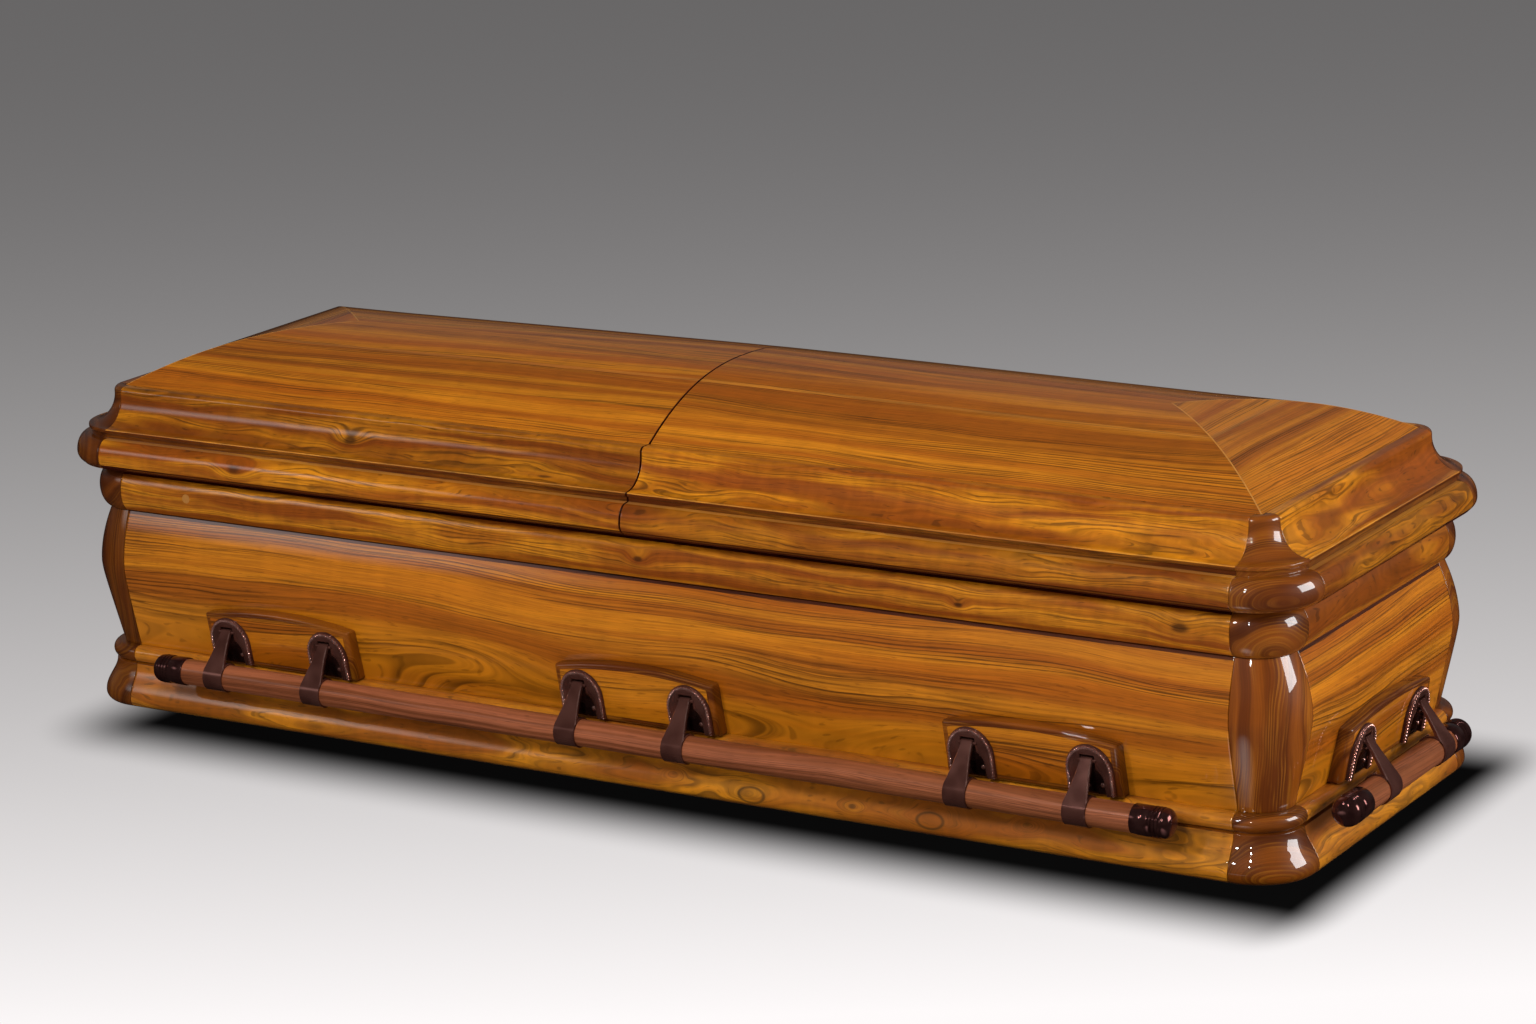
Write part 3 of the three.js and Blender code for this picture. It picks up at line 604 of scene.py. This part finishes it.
def crownBoard(name, start, end, turn, node=None, along=(1, 0, 0), pith=(0, 110), centre=(0, 0, 500)):
    # a grid over (share of the run at this depth, inward): x from start(inward) to end(inward), and the
    # same grid a thickness lower
    inward = np.concatenate([[0.3, 0.9, 2, 5], np.linspace(11.7, halfWidth - 0.02, 34)])
    shares = np.linspace(0, 1, 36)
    strip = np.array([0, 0.3, crown["mitreLine"], crown["mitreLine"] + 1])
    first, last = start(inward)[:, None], end(inward)[:, None]
    grid = first + (last - first) * shares[None, :]
    left = np.minimum(first + strip[None, :], (first + last) / 2)
    right = np.maximum(last - strip[::-1][None, :], (first + last) / 2)
    x = np.concatenate([left, np.clip(grid[:, 1:-1], left[:, -1:], right[:, :1]), right], 1)
    y = np.broadcast_to((inward - halfWidth)[:, None], x.shape)
    rows, cols = x.shape
    if abs(turn) == 90:
        away = halfLength - inward[:, None] + 0 * x
        top = crownHeight(inward[:, None] + 0 * x, away)
        plan = np.dstack([away * (1 if turn > 0 else -1), x])
    else:
        plan = np.dstack(turned(x, y, turn))
        top = crownHeight(inward[:, None] + 0 * x, x)
    edgeDrop = np.zeros_like(x)
    edgeDrop[:, 0] = edgeDrop[:, -1] = 0.35
    edgeDrop[0] += 0.5
    edgeDrop[1] += 0.15
    if abs(turn) == 90:
        edgeDrop[-1] = 0.35  # an end board's last row is one point
    low = np.where(inward[:, None] < crown["seat"], rim["seat"] + box["gap"], top - crown["thickness"])
    upper = np.dstack([plan, top - edgeDrop]).reshape(-1, 3)
    lower = np.dstack([plan, low]).reshape(-1, 3)
    count = rows * cols
    faces = gridFaces(rows, cols)
    under = [[i + count for i in face[::-1]] for face in faces]
    border = np.concatenate([np.arange(cols), np.arange(1, rows) * cols + cols - 1,
                             (rows - 1) * cols + np.arange(cols - 2, -1, -1), np.arange(rows - 2, 0, -1) * cols])
    sides = [[int(a), int(b), int(b) + count, int(a) + count] for a, b in zip(border, np.roll(border, -1))]
    wood = {"along": along, "centre": centre, "pith": pith}
    fromRidge = lambda c: np.abs(c[:, 1]) if along[0] else halfWidth - (halfLength - np.abs(c[:, 0]))
    boards = [{**wood, "pith": (pith[0] + 30 * number, pith[1]), "tone": crown["tones"][number],
               "where": lambda c, near=near, far=far: (fromRidge(c) >= near) & (fromRidge(c) < far)}
              for number, (near, far) in enumerate(zip(crown["seams"], crown["seams"][1:]))]
    mitre = lambda c: np.abs(halfLength - np.abs(c[:, 0]) - (halfWidth - np.abs(c[:, 1]))) < crown["mitreLine"]
    seam = lambda c: np.abs(c[:, 0]) < crown["seam"] + 0.8
    # the mitre line paler; the ends where the lid halves meet carry painted shade
    boards += [{**wood, "seed": 0, "tone": (0, 0, 0.5), "where": mitre},
               {**wood, "seed": 0, "tone": (1, 0, 0), "where": seam}]
    addPiece(name, [(np.concatenate([upper, lower]), faces + under + sides, 0)], [bodyLacquer], "coffin",
             [node] if node else (), boards)


def toSeam(inward):
    # half the gap between the lid halves, at any depth
    return 0 * inward + crown["seam"]


def toMitre(inward):
    # a long board's end: the half length less the depth, less half the mitre's gap
    return halfLength - inward - crown["mitre"]


def toCorner(inward):
    # an end board's end: the half width less the depth, less half the mitre's gap
    return halfWidth - inward - crown["mitre"]


right, left = (toSeam, toMitre), (lambda i: -toMitre(i), lambda i: -toSeam(i))
for half, sign, front, back in (("foot", 1, right, left), ("head", -1, left, right)):
    crownBoard(f"crown {half} front", *front, 0, f"lid_{half}_crown", pith=(130, 90), centre=(0, -120, 530))
    crownBoard(f"crown {half} back", *back, 180, pith=(-130, 90), centre=(0, 120, 530))
    crownBoard(f"crown {half} end", lambda i: -toCorner(i), toCorner, 90 * sign, along=(0, 1, 0),
               pith=(120, 90), centre=(sign * 850, 0, 530))
print("crowns: done")

# handles
handle = {"plaqueSpacing": 650, "lugSpacing": 186, "faceInset": 9.8, "faceFoot": 100, "lean": 0.2,
          "barOut": 30, "barHeight": 86, "barRadius": 20, "pivotOut": 7, "pivotHeight": 151}
lean = math.atan(handle["lean"])


def faceOut(height):
    # the plaques' leaning face: -inset + lean (height - foot)
    return -handle["faceInset"] + handle["lean"] * (height - handle["faceFoot"])


def onWall(points, side, shift=0):
    # (along, out, height) on a wall to the frame's axes
    turn, distance = walls[side]
    x, y = turned(points[:, 0] + shift, -(distance + points[:, 1]), turn)
    return np.stack([x, y, points[:, 2]], 1)


def lathe(profile, sides, out, height):
    # a profile of (along, radius) turned round an axis that runs along the wall
    angle = np.linspace(0, 2 * np.pi, sides, endpoint=False)[None, :]
    along, radius = profile[:, :1], profile[:, 1:]
    points = np.dstack([along + 0 * angle, out + radius * np.cos(angle), height + radius * np.sin(angle)])
    return points.reshape(-1, 3), gridFaces(len(profile), sides, wrapCols=True)


plaque = {"halfWidth": 137, "endHeight": 176, "crest": 190, "edge": 7.0, "columns": 40}


def plaqueParts():
    # rings out from the panel, round the edge and onto the face: each is the outline made smaller by its inset,
    # and its out is the leaning face less its drop
    side, crest, e = plaque["halfWidth"], plaque["crest"], plaque["edge"]
    foot = base["height"] + box["gap"]
    share = np.linspace(-1, 1, plaque["columns"])
    arch = np.stack([share * side, crest - (crest - plaque["endHeight"]) * share ** 2], 1)
    outline = eased(np.concatenate([[[side, foot]], arch[::-1], [[-side, foot]]]), 5.0, 5, 40)
    centre = np.array([0, (foot + crest) / 2])
    turn = np.radians(np.arange(0, 91, 15))
    steps = [(0, None), *zip(e * (1 - np.cos(turn)), e * (1 - np.sin(turn))), (e + 0.5, 0.35), (e + 1, 0), (e + 3, 0)]
    rings = []
    for inset, drop in steps:
        size = np.array([(side - inset) / side, (crest - foot - 2 * inset) / (crest - foot)])
        flat = centre + (outline - centre) * size
        height = np.maximum(flat[:, 1], foot)
        out = bodyOffset(height) + 0.1 if drop is None else faceOut(height) - drop
        rings.append(np.stack([flat[:, 0], out, height], 1))
    count = len(outline)
    last = (len(rings) - 1) * count
    face, back = [list(range(last, last + count))], [list(range(count))[::-1]]
    return np.concatenate(rings), gridFaces(len(rings), count, wrapCols=True), face, back


plaquePoints, plaqueSides, plaqueFace, plaqueBack = plaqueParts()

lug = {"halfWidth": 36.5, "height": 75, "archFoot": 34, "rope": 3.0, "ropeTwists": 36, "ropeInset": 3.4,
       "ropeOut": 4.6, "flange": 5.4, "holeHalf": 23.5, "slotHalf": 11.2, "slotTop": 61, "shoulder": 40, "floor": 1.4,
       "screws": ((-17.5, 14), (17.5, 14), (17, 34), (-17, 34)), "screwRadius": 3.4, "screwRise": 1.9}


def lugPlace(points):
    # (across, up, out) on the leaning face to (along, out, height) on the wall
    across, up, out = points.T
    start = faceOut(handle["faceFoot"]) + 0.35 / math.cos(lean)
    return np.stack([across, start + out * math.cos(lean) + up * math.sin(lean),
                     handle["faceFoot"] - out * math.sin(lean) + up * math.cos(lean)], 1)


def evenly(line, count):
    # the same line through `count` points that are equally far apart along it
    length = np.concatenate([[0], np.cumsum(np.linalg.norm(np.diff(line, axis=0), axis=1))])
    at = np.linspace(0, length[-1], count)
    return np.stack([np.interp(at, length, line[:, 0]), np.interp(at, length, line[:, 1])], 1)


def horseshoe(half, top, archFoot, count):
    # from the right foot straight up, round a half ellipse and down to the left foot
    angle = np.linspace(0, np.pi, 200)
    curve = np.stack([half * np.cos(angle), archFoot + (top - archFoot) * np.sin(angle)], 1)
    return evenly(np.concatenate([[[half, 0]], curve, [[-half, 0]]]), count)


def keyhole(count):
    # the opening: wide at the foot, narrowing over a shoulder to a slot
    angle = np.radians(np.linspace(0, 62, 12))
    right = np.concatenate([[[lug["holeHalf"], 0]],
                            np.stack([(lug["holeHalf"] - 1) * np.cos(angle), 22 + 20 * np.sin(angle)], 1),
                            [[lug["slotHalf"], lug["shoulder"] + 1.5], [lug["slotHalf"], lug["slotTop"]]]])
    return evenly(np.concatenate([right, (right * [-1, 1])[::-1]]), count)


def lugParts():
    # rings of (outline, out) from the back over the rim and flange to the keyhole's floor, and a rope on the rim
    count = 120
    outer = horseshoe(lug["halfWidth"], lug["height"], lug["archFoot"], count)
    inner = keyhole(count)
    share = lambda s: outer * (1 - s) + inner * s
    step = [(outer, 0), (outer, 2.2), (share(0.05), 3.6), (share(0.42), lug["flange"] + 0.4),
            (share(0.5), lug["flange"] + 1.2), (share(0.92), lug["flange"] + 1.2), (share(1.0), lug["flange"] + 0.4),
            (inner, lug["floor"]), (inner * [0.02, 0.9] + [0, 2], lug["floor"])]
    rings = [np.column_stack([flat, np.full(count, out)]) for flat, out in step]
    points = np.concatenate(rings)
    plate = gridFaces(len(rings) - 1, count)
    floorFaces = [[i + (len(rings) - 2) * count for i in face] for face in gridFaces(2, count)]
    floorFaces.append([i + (len(rings) - 1) * count for i in range(count)])
    # the foot and the back: one flat face each
    back = [list(range(count))[::-1]]
    footRow = [r * count for r in range(len(rings))] + [(r + 1) * count - 1 for r in reversed(range(len(rings)))]
    # the rope: a tube along the rim whose section bulges with every strand
    path = horseshoe(lug["halfWidth"] - lug["ropeInset"], lug["height"] - lug["ropeInset"], lug["archFoot"], 460)
    ahead = np.gradient(path, axis=0)
    ahead /= np.linalg.norm(ahead, axis=1)[:, None]
    normal = np.stack([ahead[:, 1], -ahead[:, 0]], 1)
    around = np.linspace(0, 2 * np.pi, 12, endpoint=False)[None, :]
    travel = np.linspace(0, 2 * np.pi * lug["ropeTwists"], len(path))[:, None]
    radius = lug["rope"] * (0.76 + 0.24 * np.cos(travel + around))
    radius[0] = radius[-1] = 0.01
    across = path[:, None, :] + normal[:, None, :] * (radius * np.cos(around))[..., None]
    out = lug["ropeOut"] + radius * np.sin(around)
    rope = np.dstack([across, out]).reshape(-1, 3)
    ropeEnds = [list(range(12)), list(range(len(rope) - 12, len(rope)))]
    return [(lugPlace(points), plate + back + [footRow], 0), (lugPlace(points), floorFaces, 1),
            (lugPlace(rope), gridFaces(len(path), 12, wrapCols=True) + ropeEnds, 2)]


def dome(across, up, out, radius, rise, sides=20):
    # a small screw head: radius shrinks as a quarter circle while it rises
    angle = np.linspace(0, np.pi / 2, 6)
    turn = np.linspace(0, 2 * np.pi, sides, endpoint=False)[None, :]
    r, h = (radius * np.cos(angle))[:, None], (rise * np.sin(angle))[:, None]
    points = np.dstack([across + r * np.cos(turn), up + r * np.sin(turn), out + h + 0 * turn]).reshape(-1, 3)
    foot = points[:sides] - [0, 0, 1.0]
    return np.concatenate([foot, points]), gridFaces(7, sides, wrapCols=True) + [list(range(sides))[::-1]]


arm = {"barrel": 4.8, "barrelHalf": 9, "pin": 2.5, "pinHalf": 14, "thickness": 5.4, "topHalf": 9, "footHalf": 18,
       "band": 2.3, "bandInside": 20.3, "bandHalf": 18, "chamfer": 1.3}


def armParts():
    # a plate that runs along the common tangent of the barrel and the band, widening toward the band
    outside = arm["bandInside"] + arm["band"]
    pivot = np.array([handle["pivotOut"], handle["pivotHeight"]])
    centre = np.array([handle["barOut"], handle["barHeight"]])
    reach = np.linalg.norm(centre - pivot)
    slope = (arm["barrel"] - outside) / reach
    ahead = (centre - pivot) / reach
    normal = ahead * slope + np.array([-ahead[1], ahead[0]]) * math.sqrt(1 - slope ** 2)
    down = np.array([normal[1], -normal[0]])
    s = np.linspace(0, 1, 26)[:, None]
    half = arm["topHalf"] + (arm["footHalf"] - arm["topHalf"]) * np.clip((s - 0.02) / 0.9, 0, 1) ** 1.5
    line = pivot + normal * arm["barrel"] + down * s * reach * math.sqrt(1 - slope ** 2)
    c, thick = arm["chamfer"], arm["thickness"]
    across = half * [-1, -1, -1, 1, 1, 1] + c * np.array([0, 0, 1, -1, 0, 0])
    deep = np.array([-thick, -c, 0, 0, -c, -thick])
    points = np.dstack([across, line[:, :1] + normal[0] * deep, line[:, 1:] + normal[1] * deep]).reshape(-1, 3)
    faces = gridFaces(len(s), 6, wrapCols=True)
    # the chamfers take the bright relieved colour, partly a painted highlight
    plain = [face for i, face in enumerate(faces) if i % 6 not in (1, 3)]
    bright = [face for i, face in enumerate(faces) if i % 6 in (1, 3)]
    ends = [list(range(6))[::-1], list(range(len(points) - 6, len(points)))]
    # barrel, pin and band: profiles of (along, radius)
    b, w, p, h, e = arm["barrel"], arm["barrelHalf"], arm["pinHalf"], arm["bandHalf"], 0.6
    barrel = np.array([[-w, 0], [-w, b - 0.8], [-w + 0.8, b], [w - 0.8, b], [w, b - 0.8], [w, 0]])
    pin = np.array([[-p, 0], [-p, arm["pin"]], [p, arm["pin"]], [p, 0]])
    band = np.array([[-h, arm["bandInside"]], [-h, outside - e], [-h + e, outside], [h - e, outside],
                     [h, outside - e], [h, arm["bandInside"]], [-h, arm["bandInside"]]])
    lathed = [lathe(barrel, 24, *pivot), lathe(pin, 24, *pivot), lathe(band, 64, *centre)]
    return [(points, plain + ends, 0), (points, bright, 2)] + [(*part, 0) for part in lathed]


bar = {"capRadius": 22.2, "capLength": 60, "sideHalf": 876, "endHalf": 204, "sides": 64}


def barParts(halfLength):
    # the wooden bar and its two caps: profiles of (along, radius) turned round the bar's axis
    r, cap, capLength = handle["barRadius"], bar["capRadius"], bar["capLength"]
    turn = np.linspace(0, np.pi / 2, 12)
    tip = np.stack([13 - 13 * np.cos(turn), cap * np.sin(turn) ** 0.8 * 0.97], 1)
    rings = [[start + step, cap * size] for start in (16, 21.5, 27)
             for step, size in ((0, 0.92), (1, 1), (3.2, 1), (4.2, 0.92))]
    body = [[33, cap * 0.96], [34, cap * 0.985], [capLength - 1, cap * 0.985], [capLength, cap * 0.96],
            [capLength, r - 1], [capLength, 0]]
    profile = np.concatenate([tip, rings, body])
    end = halfLength - capLength + 3
    wood = np.concatenate([[[-end, 0]], np.stack([np.linspace(-end, end, 12), np.full(12, r)], 1), [[end, 0]]])
    return [lathe(p, bar["sides"], handle["barOut"], handle["barHeight"])
            for p in (wood, profile - [halfLength, 0], profile * [-1, 1] + [halfLength, 0])]


lugPieces, armPieces = lugParts(), armParts()
for across, up in lug["screws"]:
    p, f = dome(across, up, lug["floor"], lug["screwRadius"], lug["screwRise"])
    lugPieces.append((lugPlace(p), f, 2))

threePlaques = (-handle["plaqueSpacing"], 0, handle["plaqueSpacing"])
handles = {  # plaque centres, half the bar's length, and how far the bar has slid in its bands
    "front": {"centres": threePlaques, "half": bar["sideHalf"], "slide": 11},
    "back": {"centres": threePlaques, "half": bar["sideHalf"], "slide": 0},
    "foot": {"centres": (0,), "half": bar["endHalf"], "slide": -22},
    "head": {"centres": (0,), "half": bar["endHalf"], "slide": -28},
}
for side, spec in handles.items():
    turn = walls[side][0]
    along = (*turned(1, 0, turn), 0)
    body = f"handle_{side}"
    for i, centre in enumerate(spec["centres"]):
        many = len(spec["centres"]) > 1
        name = f"plaque_{side}_{i + 1}" if many else f"plaque_{side}"
        middle = (*turned(centre, -walls[side][1], turn), 150)
        points = onWall(plaquePoints, side, centre)
        parts = [(points, plaqueSides + plaqueBack, 1), (points, plaqueFace, 0)]
        addPiece(name.replace("_", " "), parts, [bodyLacquer, cornerLacquer], "coffin", [name],
                 {"along": along, "centre": middle, "pith": (55, 60), "tone": (0.0, 0.1, 0)}, sharp=50)
        for j, way in enumerate((-1, 1)):
            number = 2 * i + j + 1
            shift = centre + way * handle["lugSpacing"] / 2
            parts = [(onWall(p, side, shift), f, m) for p, f, m in lugPieces]
            addPiece(f"lug {side} {number}", parts, [antiqueCopper, darkCopper, brightCopper], "coffin",
                     [f"lug_{side}_{number}"], sharp=40)
            parts = [(onWall(p, side, shift), f, m) for p, f, m in armPieces]
            addPiece(f"arm {side} {number}", parts, [antiqueCopper, darkCopper, brightCopper], body,
                     [f"arm_{side}_{number}"], sharp=30)
    (p, f), *caps = barParts(spec["half"])
    middle = (*turned(0, -(walls[side][1] + handle["barOut"]), turn), handle["barHeight"])
    addPiece(f"bar {side}", [(onWall(p, side, spec["slide"]), f, 0)], [barLacquer], body, [f"bar_{side}"],
             {"along": along, "centre": middle, "pith": (18, 34)}, sharp=30)
    for label, (p, f) in zip(("left", "right"), caps):
        addPiece(f"bar cap {side} {label}", [(onWall(p, side, spec["slide"]), f, 0)], [capMetal], body, (),
                 sharp=30)
print("handles: done")

# studio
view = {"place": (3.41455, -5.42081, 2.04096), "heading": 31.945, "down": 14.889, "roll": -2.174, "lens": 103.32}
heading, down, roll = (math.radians(view[k]) for k in ("heading", "down", "roll"))
ahead = Vector((-math.sin(heading) * math.cos(down), math.cos(heading) * math.cos(down), -math.sin(down)))
level = Vector((math.cos(heading), math.sin(heading), 0))
upright = level.cross(ahead)
right = level * math.cos(roll) + upright * math.sin(roll)
up = upright * math.cos(roll) - level * math.sin(roll)
cameraData = bpy.data.cameras.new("camera")
cameraData.sensor_width = 36
cameraData.lens = view["lens"]
cameraData.clip_end = 200
camera = bpy.data.objects.new("camera", cameraData)
camera.matrix_world = Matrix((
    (right.x, up.x, -ahead.x, view["place"][0]), (right.y, up.y, -ahead.y, view["place"][1]),
    (right.z, up.z, -ahead.z, view["place"][2]), (0, 0, 0, 1)))
bpy.context.scene.collection.objects.link(camera)
bpy.context.scene.camera = camera

studio = {  # floor shade = base + gain exp(-slope distance), where the distance is measured toward `facing` degrees
    "facing": 121.9, "nearest": -1.2, "base": 0.13, "slope": 0.5, "gain": 0.475,
    # the painted shadow: its core and its fade, in metres
    "shadowFrom": (-0.86, -0.371), "shadowTo": (1.062, 0.26),  # the dark pool's core, metres
    "fadeFrom": (0.2, 0.2), "fadeTo": (0.1, 0.2),  # how far it fades out beyond each side of the core, metres
    "tint": (1.0, 0.965, 0.965), "skyLow": 0.01, "skyHigh": 0.045, "skyBack": 0.08,
}
floorMesh = bpy.data.meshes.new("floor")
size, under = 60, -0.0006
floorMesh.from_pydata([(-size, -size, under), (size, -size, under), (size, size, under), (-size, size, under)], [],
                      [(0, 1, 2, 3)])
floor = bpy.data.objects.new("floor", floorMesh)
bpy.context.scene.collection.objects.link(floor)
floor.visible_glossy = False
# grey-white floor that glows, with no lamp lighting it: painted light, lighter toward the front, and a painted
# shadow, a soft dark pool standing in for the coffin's own shadow
paper, add = newMaterial("matt studio paper, lit from the front")
place = add("TexCoord", out="Object")
toward = math.radians(studio["facing"])
facing = (math.cos(toward), math.sin(toward), 0)
depth = add("VectorMath", {0: place, 1: facing}, "Value", operation="DOT_PRODUCT")
depth = add("Math", {0: depth, 1: studio["nearest"]}, operation="MAXIMUM")
fall = add("Math", {0: depth, 1: -studio["slope"]}, operation="MULTIPLY")
fall = add("Math", {0: fall}, operation="EXPONENT")
shade = add("Math", {0: fall, 1: studio["gain"], 2: studio["base"]}, operation="MULTIPLY_ADD")
# the painted shadow: nearly black over its core, fading out beyond each side
outside = []
for edge, fade, way in (("shadowFrom", "fadeFrom", -1), ("shadowTo", "fadeTo", 1)):
    beyond = add("VectorMath", {0: place, 1: (*studio[edge], 0)}, operation="SUBTRACT")
    share = (way / studio[fade][0], way / studio[fade][1], 0)
    outside.append(add("VectorMath", {0: beyond, 1: share}, operation="MULTIPLY"))
offset = add("VectorMath", {0: outside[0], 1: outside[1]}, operation="MAXIMUM")
offset = add("VectorMath", {0: offset, 1: (0, 0, 0)}, operation="MAXIMUM")
away = add("VectorMath", {0: offset}, "Value", operation="LENGTH")
clear = add("MapRange", {0: away, 1: 0.0, 2: 1.0, 3: 0.004, 4: 1.0}, interpolation_type="SMOOTHSTEP")
shade = add("Math", {0: shade, 1: clear}, operation="MULTIPLY")
colour = add("VectorMath", {0: shade, 1: studio["tint"]}, operation="MULTIPLY")
shader = add("Emission", {"Color": colour})
add("OutputMaterial", {"Surface": shader}, None)
floorMesh.materials.append(paper)

# the room that the lacquer mirrors: dark below, soft grey above, a lighter wall behind
world = bpy.data.worlds.new("studio")
bpy.context.scene.world = world
world.use_nodes = True
tree = world.node_tree
add = partial(addNode, tree)
place = add("TexCoord", out="Generated")
rise = add("SeparateXYZ", {0: place}, 2)
behind = add("VectorMath", {0: place, 1: facing}, "Value", operation="DOT_PRODUCT")
lowWall = add("MapRange", {0: rise, 1: 0.38, 2: 0.55, 3: 1.0, 4: 0.0}, interpolation_type="SMOOTHSTEP")
behind = add("Math", {0: behind, 1: lowWall}, operation="MULTIPLY")
wallLight = add("MapRange", {0: behind, 1: 0.0, 2: 0.9, 3: studio["skyHigh"], 4: studio["skyBack"]})
glow = add("MapRange", {0: rise, 1: -0.12, 2: 0.2, 3: studio["skyLow"], 4: wallLight},
           interpolation_type="SMOOTHSTEP")
colour = add("CombineColor", {0: glow, 1: glow, 2: glow})
tree.links.new(colour, tree.nodes["Background"].inputs[0])

# softboxes: place and target in metres, width and height in metres, power in watts, and what they do: the
# lacquer mirrors "gloss", "faded" is brightest in its middle, and "mirror only" lights nothing
lights = {
    "overhead": ((0.2, -0.4, 4.2), (0, 0, 0.3), (4.0, 3.0), 55, ""),
    "front fill": ((0.3, -5.5, 2.0), (0, 0, 0.3), (4.0, 2.0), 48, ""),
    "left key": ((-0.65, -3.6, 2.8), (0.1, -0.3, 0.2), (0.5, 0.5), 44, ""),
    "right key": ((1.29, -4.0, 2.8), (0.1, -0.3, 0.2), (0.5, 0.5), 46, ""),
    "back fill": ((-0.3, 4.8, 2.0), (0, 0, 0.3), (4.0, 2.0), 90, ""),
    "head fill": ((-5.2, 0.8, 1.6), (-0.9, 0, 0.3), (2.0, 1.6), 30, ""),
    "end fill": ((5.4, -0.8, 1.9), (0.9, 0, 0.3), (2.0, 1.6), 45, ""),
    "end softbox": ((5.1, 1.05, 1.75), (1, -0.25, 0.3), (2.2, 2.0), 170, "gloss"),
    "side softbox": ((-3.4, -3.45, 1.95), (-0.6, -0.3, 0.4), (2.4, 1.6), 28, "gloss, faded"),
}
for label, place in (("left low", (-0.75, -3.8, 2.45)), ("left high", (-0.53, -3.4, 3.1)),
                     ("right low", (1.31, -4.2, 2.45)), ("right high", (1.27, -3.75, 3.1))):
    lights[f"lamp {label}"] = (place, (1, -0.3, 0.2), (0.17, 0.17), 12, "gloss")
# white paper lying on the floor before the near corner
lights["floor card"] = ((0.93, -0.5, 0.012), (0.93, -0.499, 1), (0.2, 0.3), 0.3, "gloss, faded, mirror only")
for name, (place, aim, size, power, manner) in lights.items():
    lamp = bpy.data.lights.new(name, "AREA")
    lamp.shape = "RECTANGLE"
    lamp.size, lamp.size_y = size
    lamp.energy = power
    if "faded" in manner:  # its mirror image ends softly
        lamp.use_nodes = True
        tree = lamp.node_tree
        add = partial(addNode, tree)
        spot = add("VectorMath", {0: add("TexCoord", out="UV"), 1: (0.5, 0.5, 0)}, operation="SUBTRACT")
        away = add("VectorMath", {0: spot}, "Value", operation="LENGTH")
        glow = add("MapRange", {0: away, 1: 0.0, 2: 0.5, 3: 1.0, 4: 0.0}, interpolation_type="SMOOTHSTEP")
        tree.links.new(glow, tree.nodes["Emission"].inputs["Strength"])
    holder = bpy.data.objects.new(name, lamp)
    holder.location = place
    holder.rotation_euler = (Vector(aim) - Vector(place)).to_track_quat("-Z", "Y").to_euler()
    holder.visible_glossy = "gloss" in manner
    holder.visible_camera = False
    holder.visible_diffuse = "mirror only" not in manner
    bpy.context.scene.collection.objects.link(holder)
bpy.context.scene.view_settings.view_transform = "Standard"
print("studio: done")
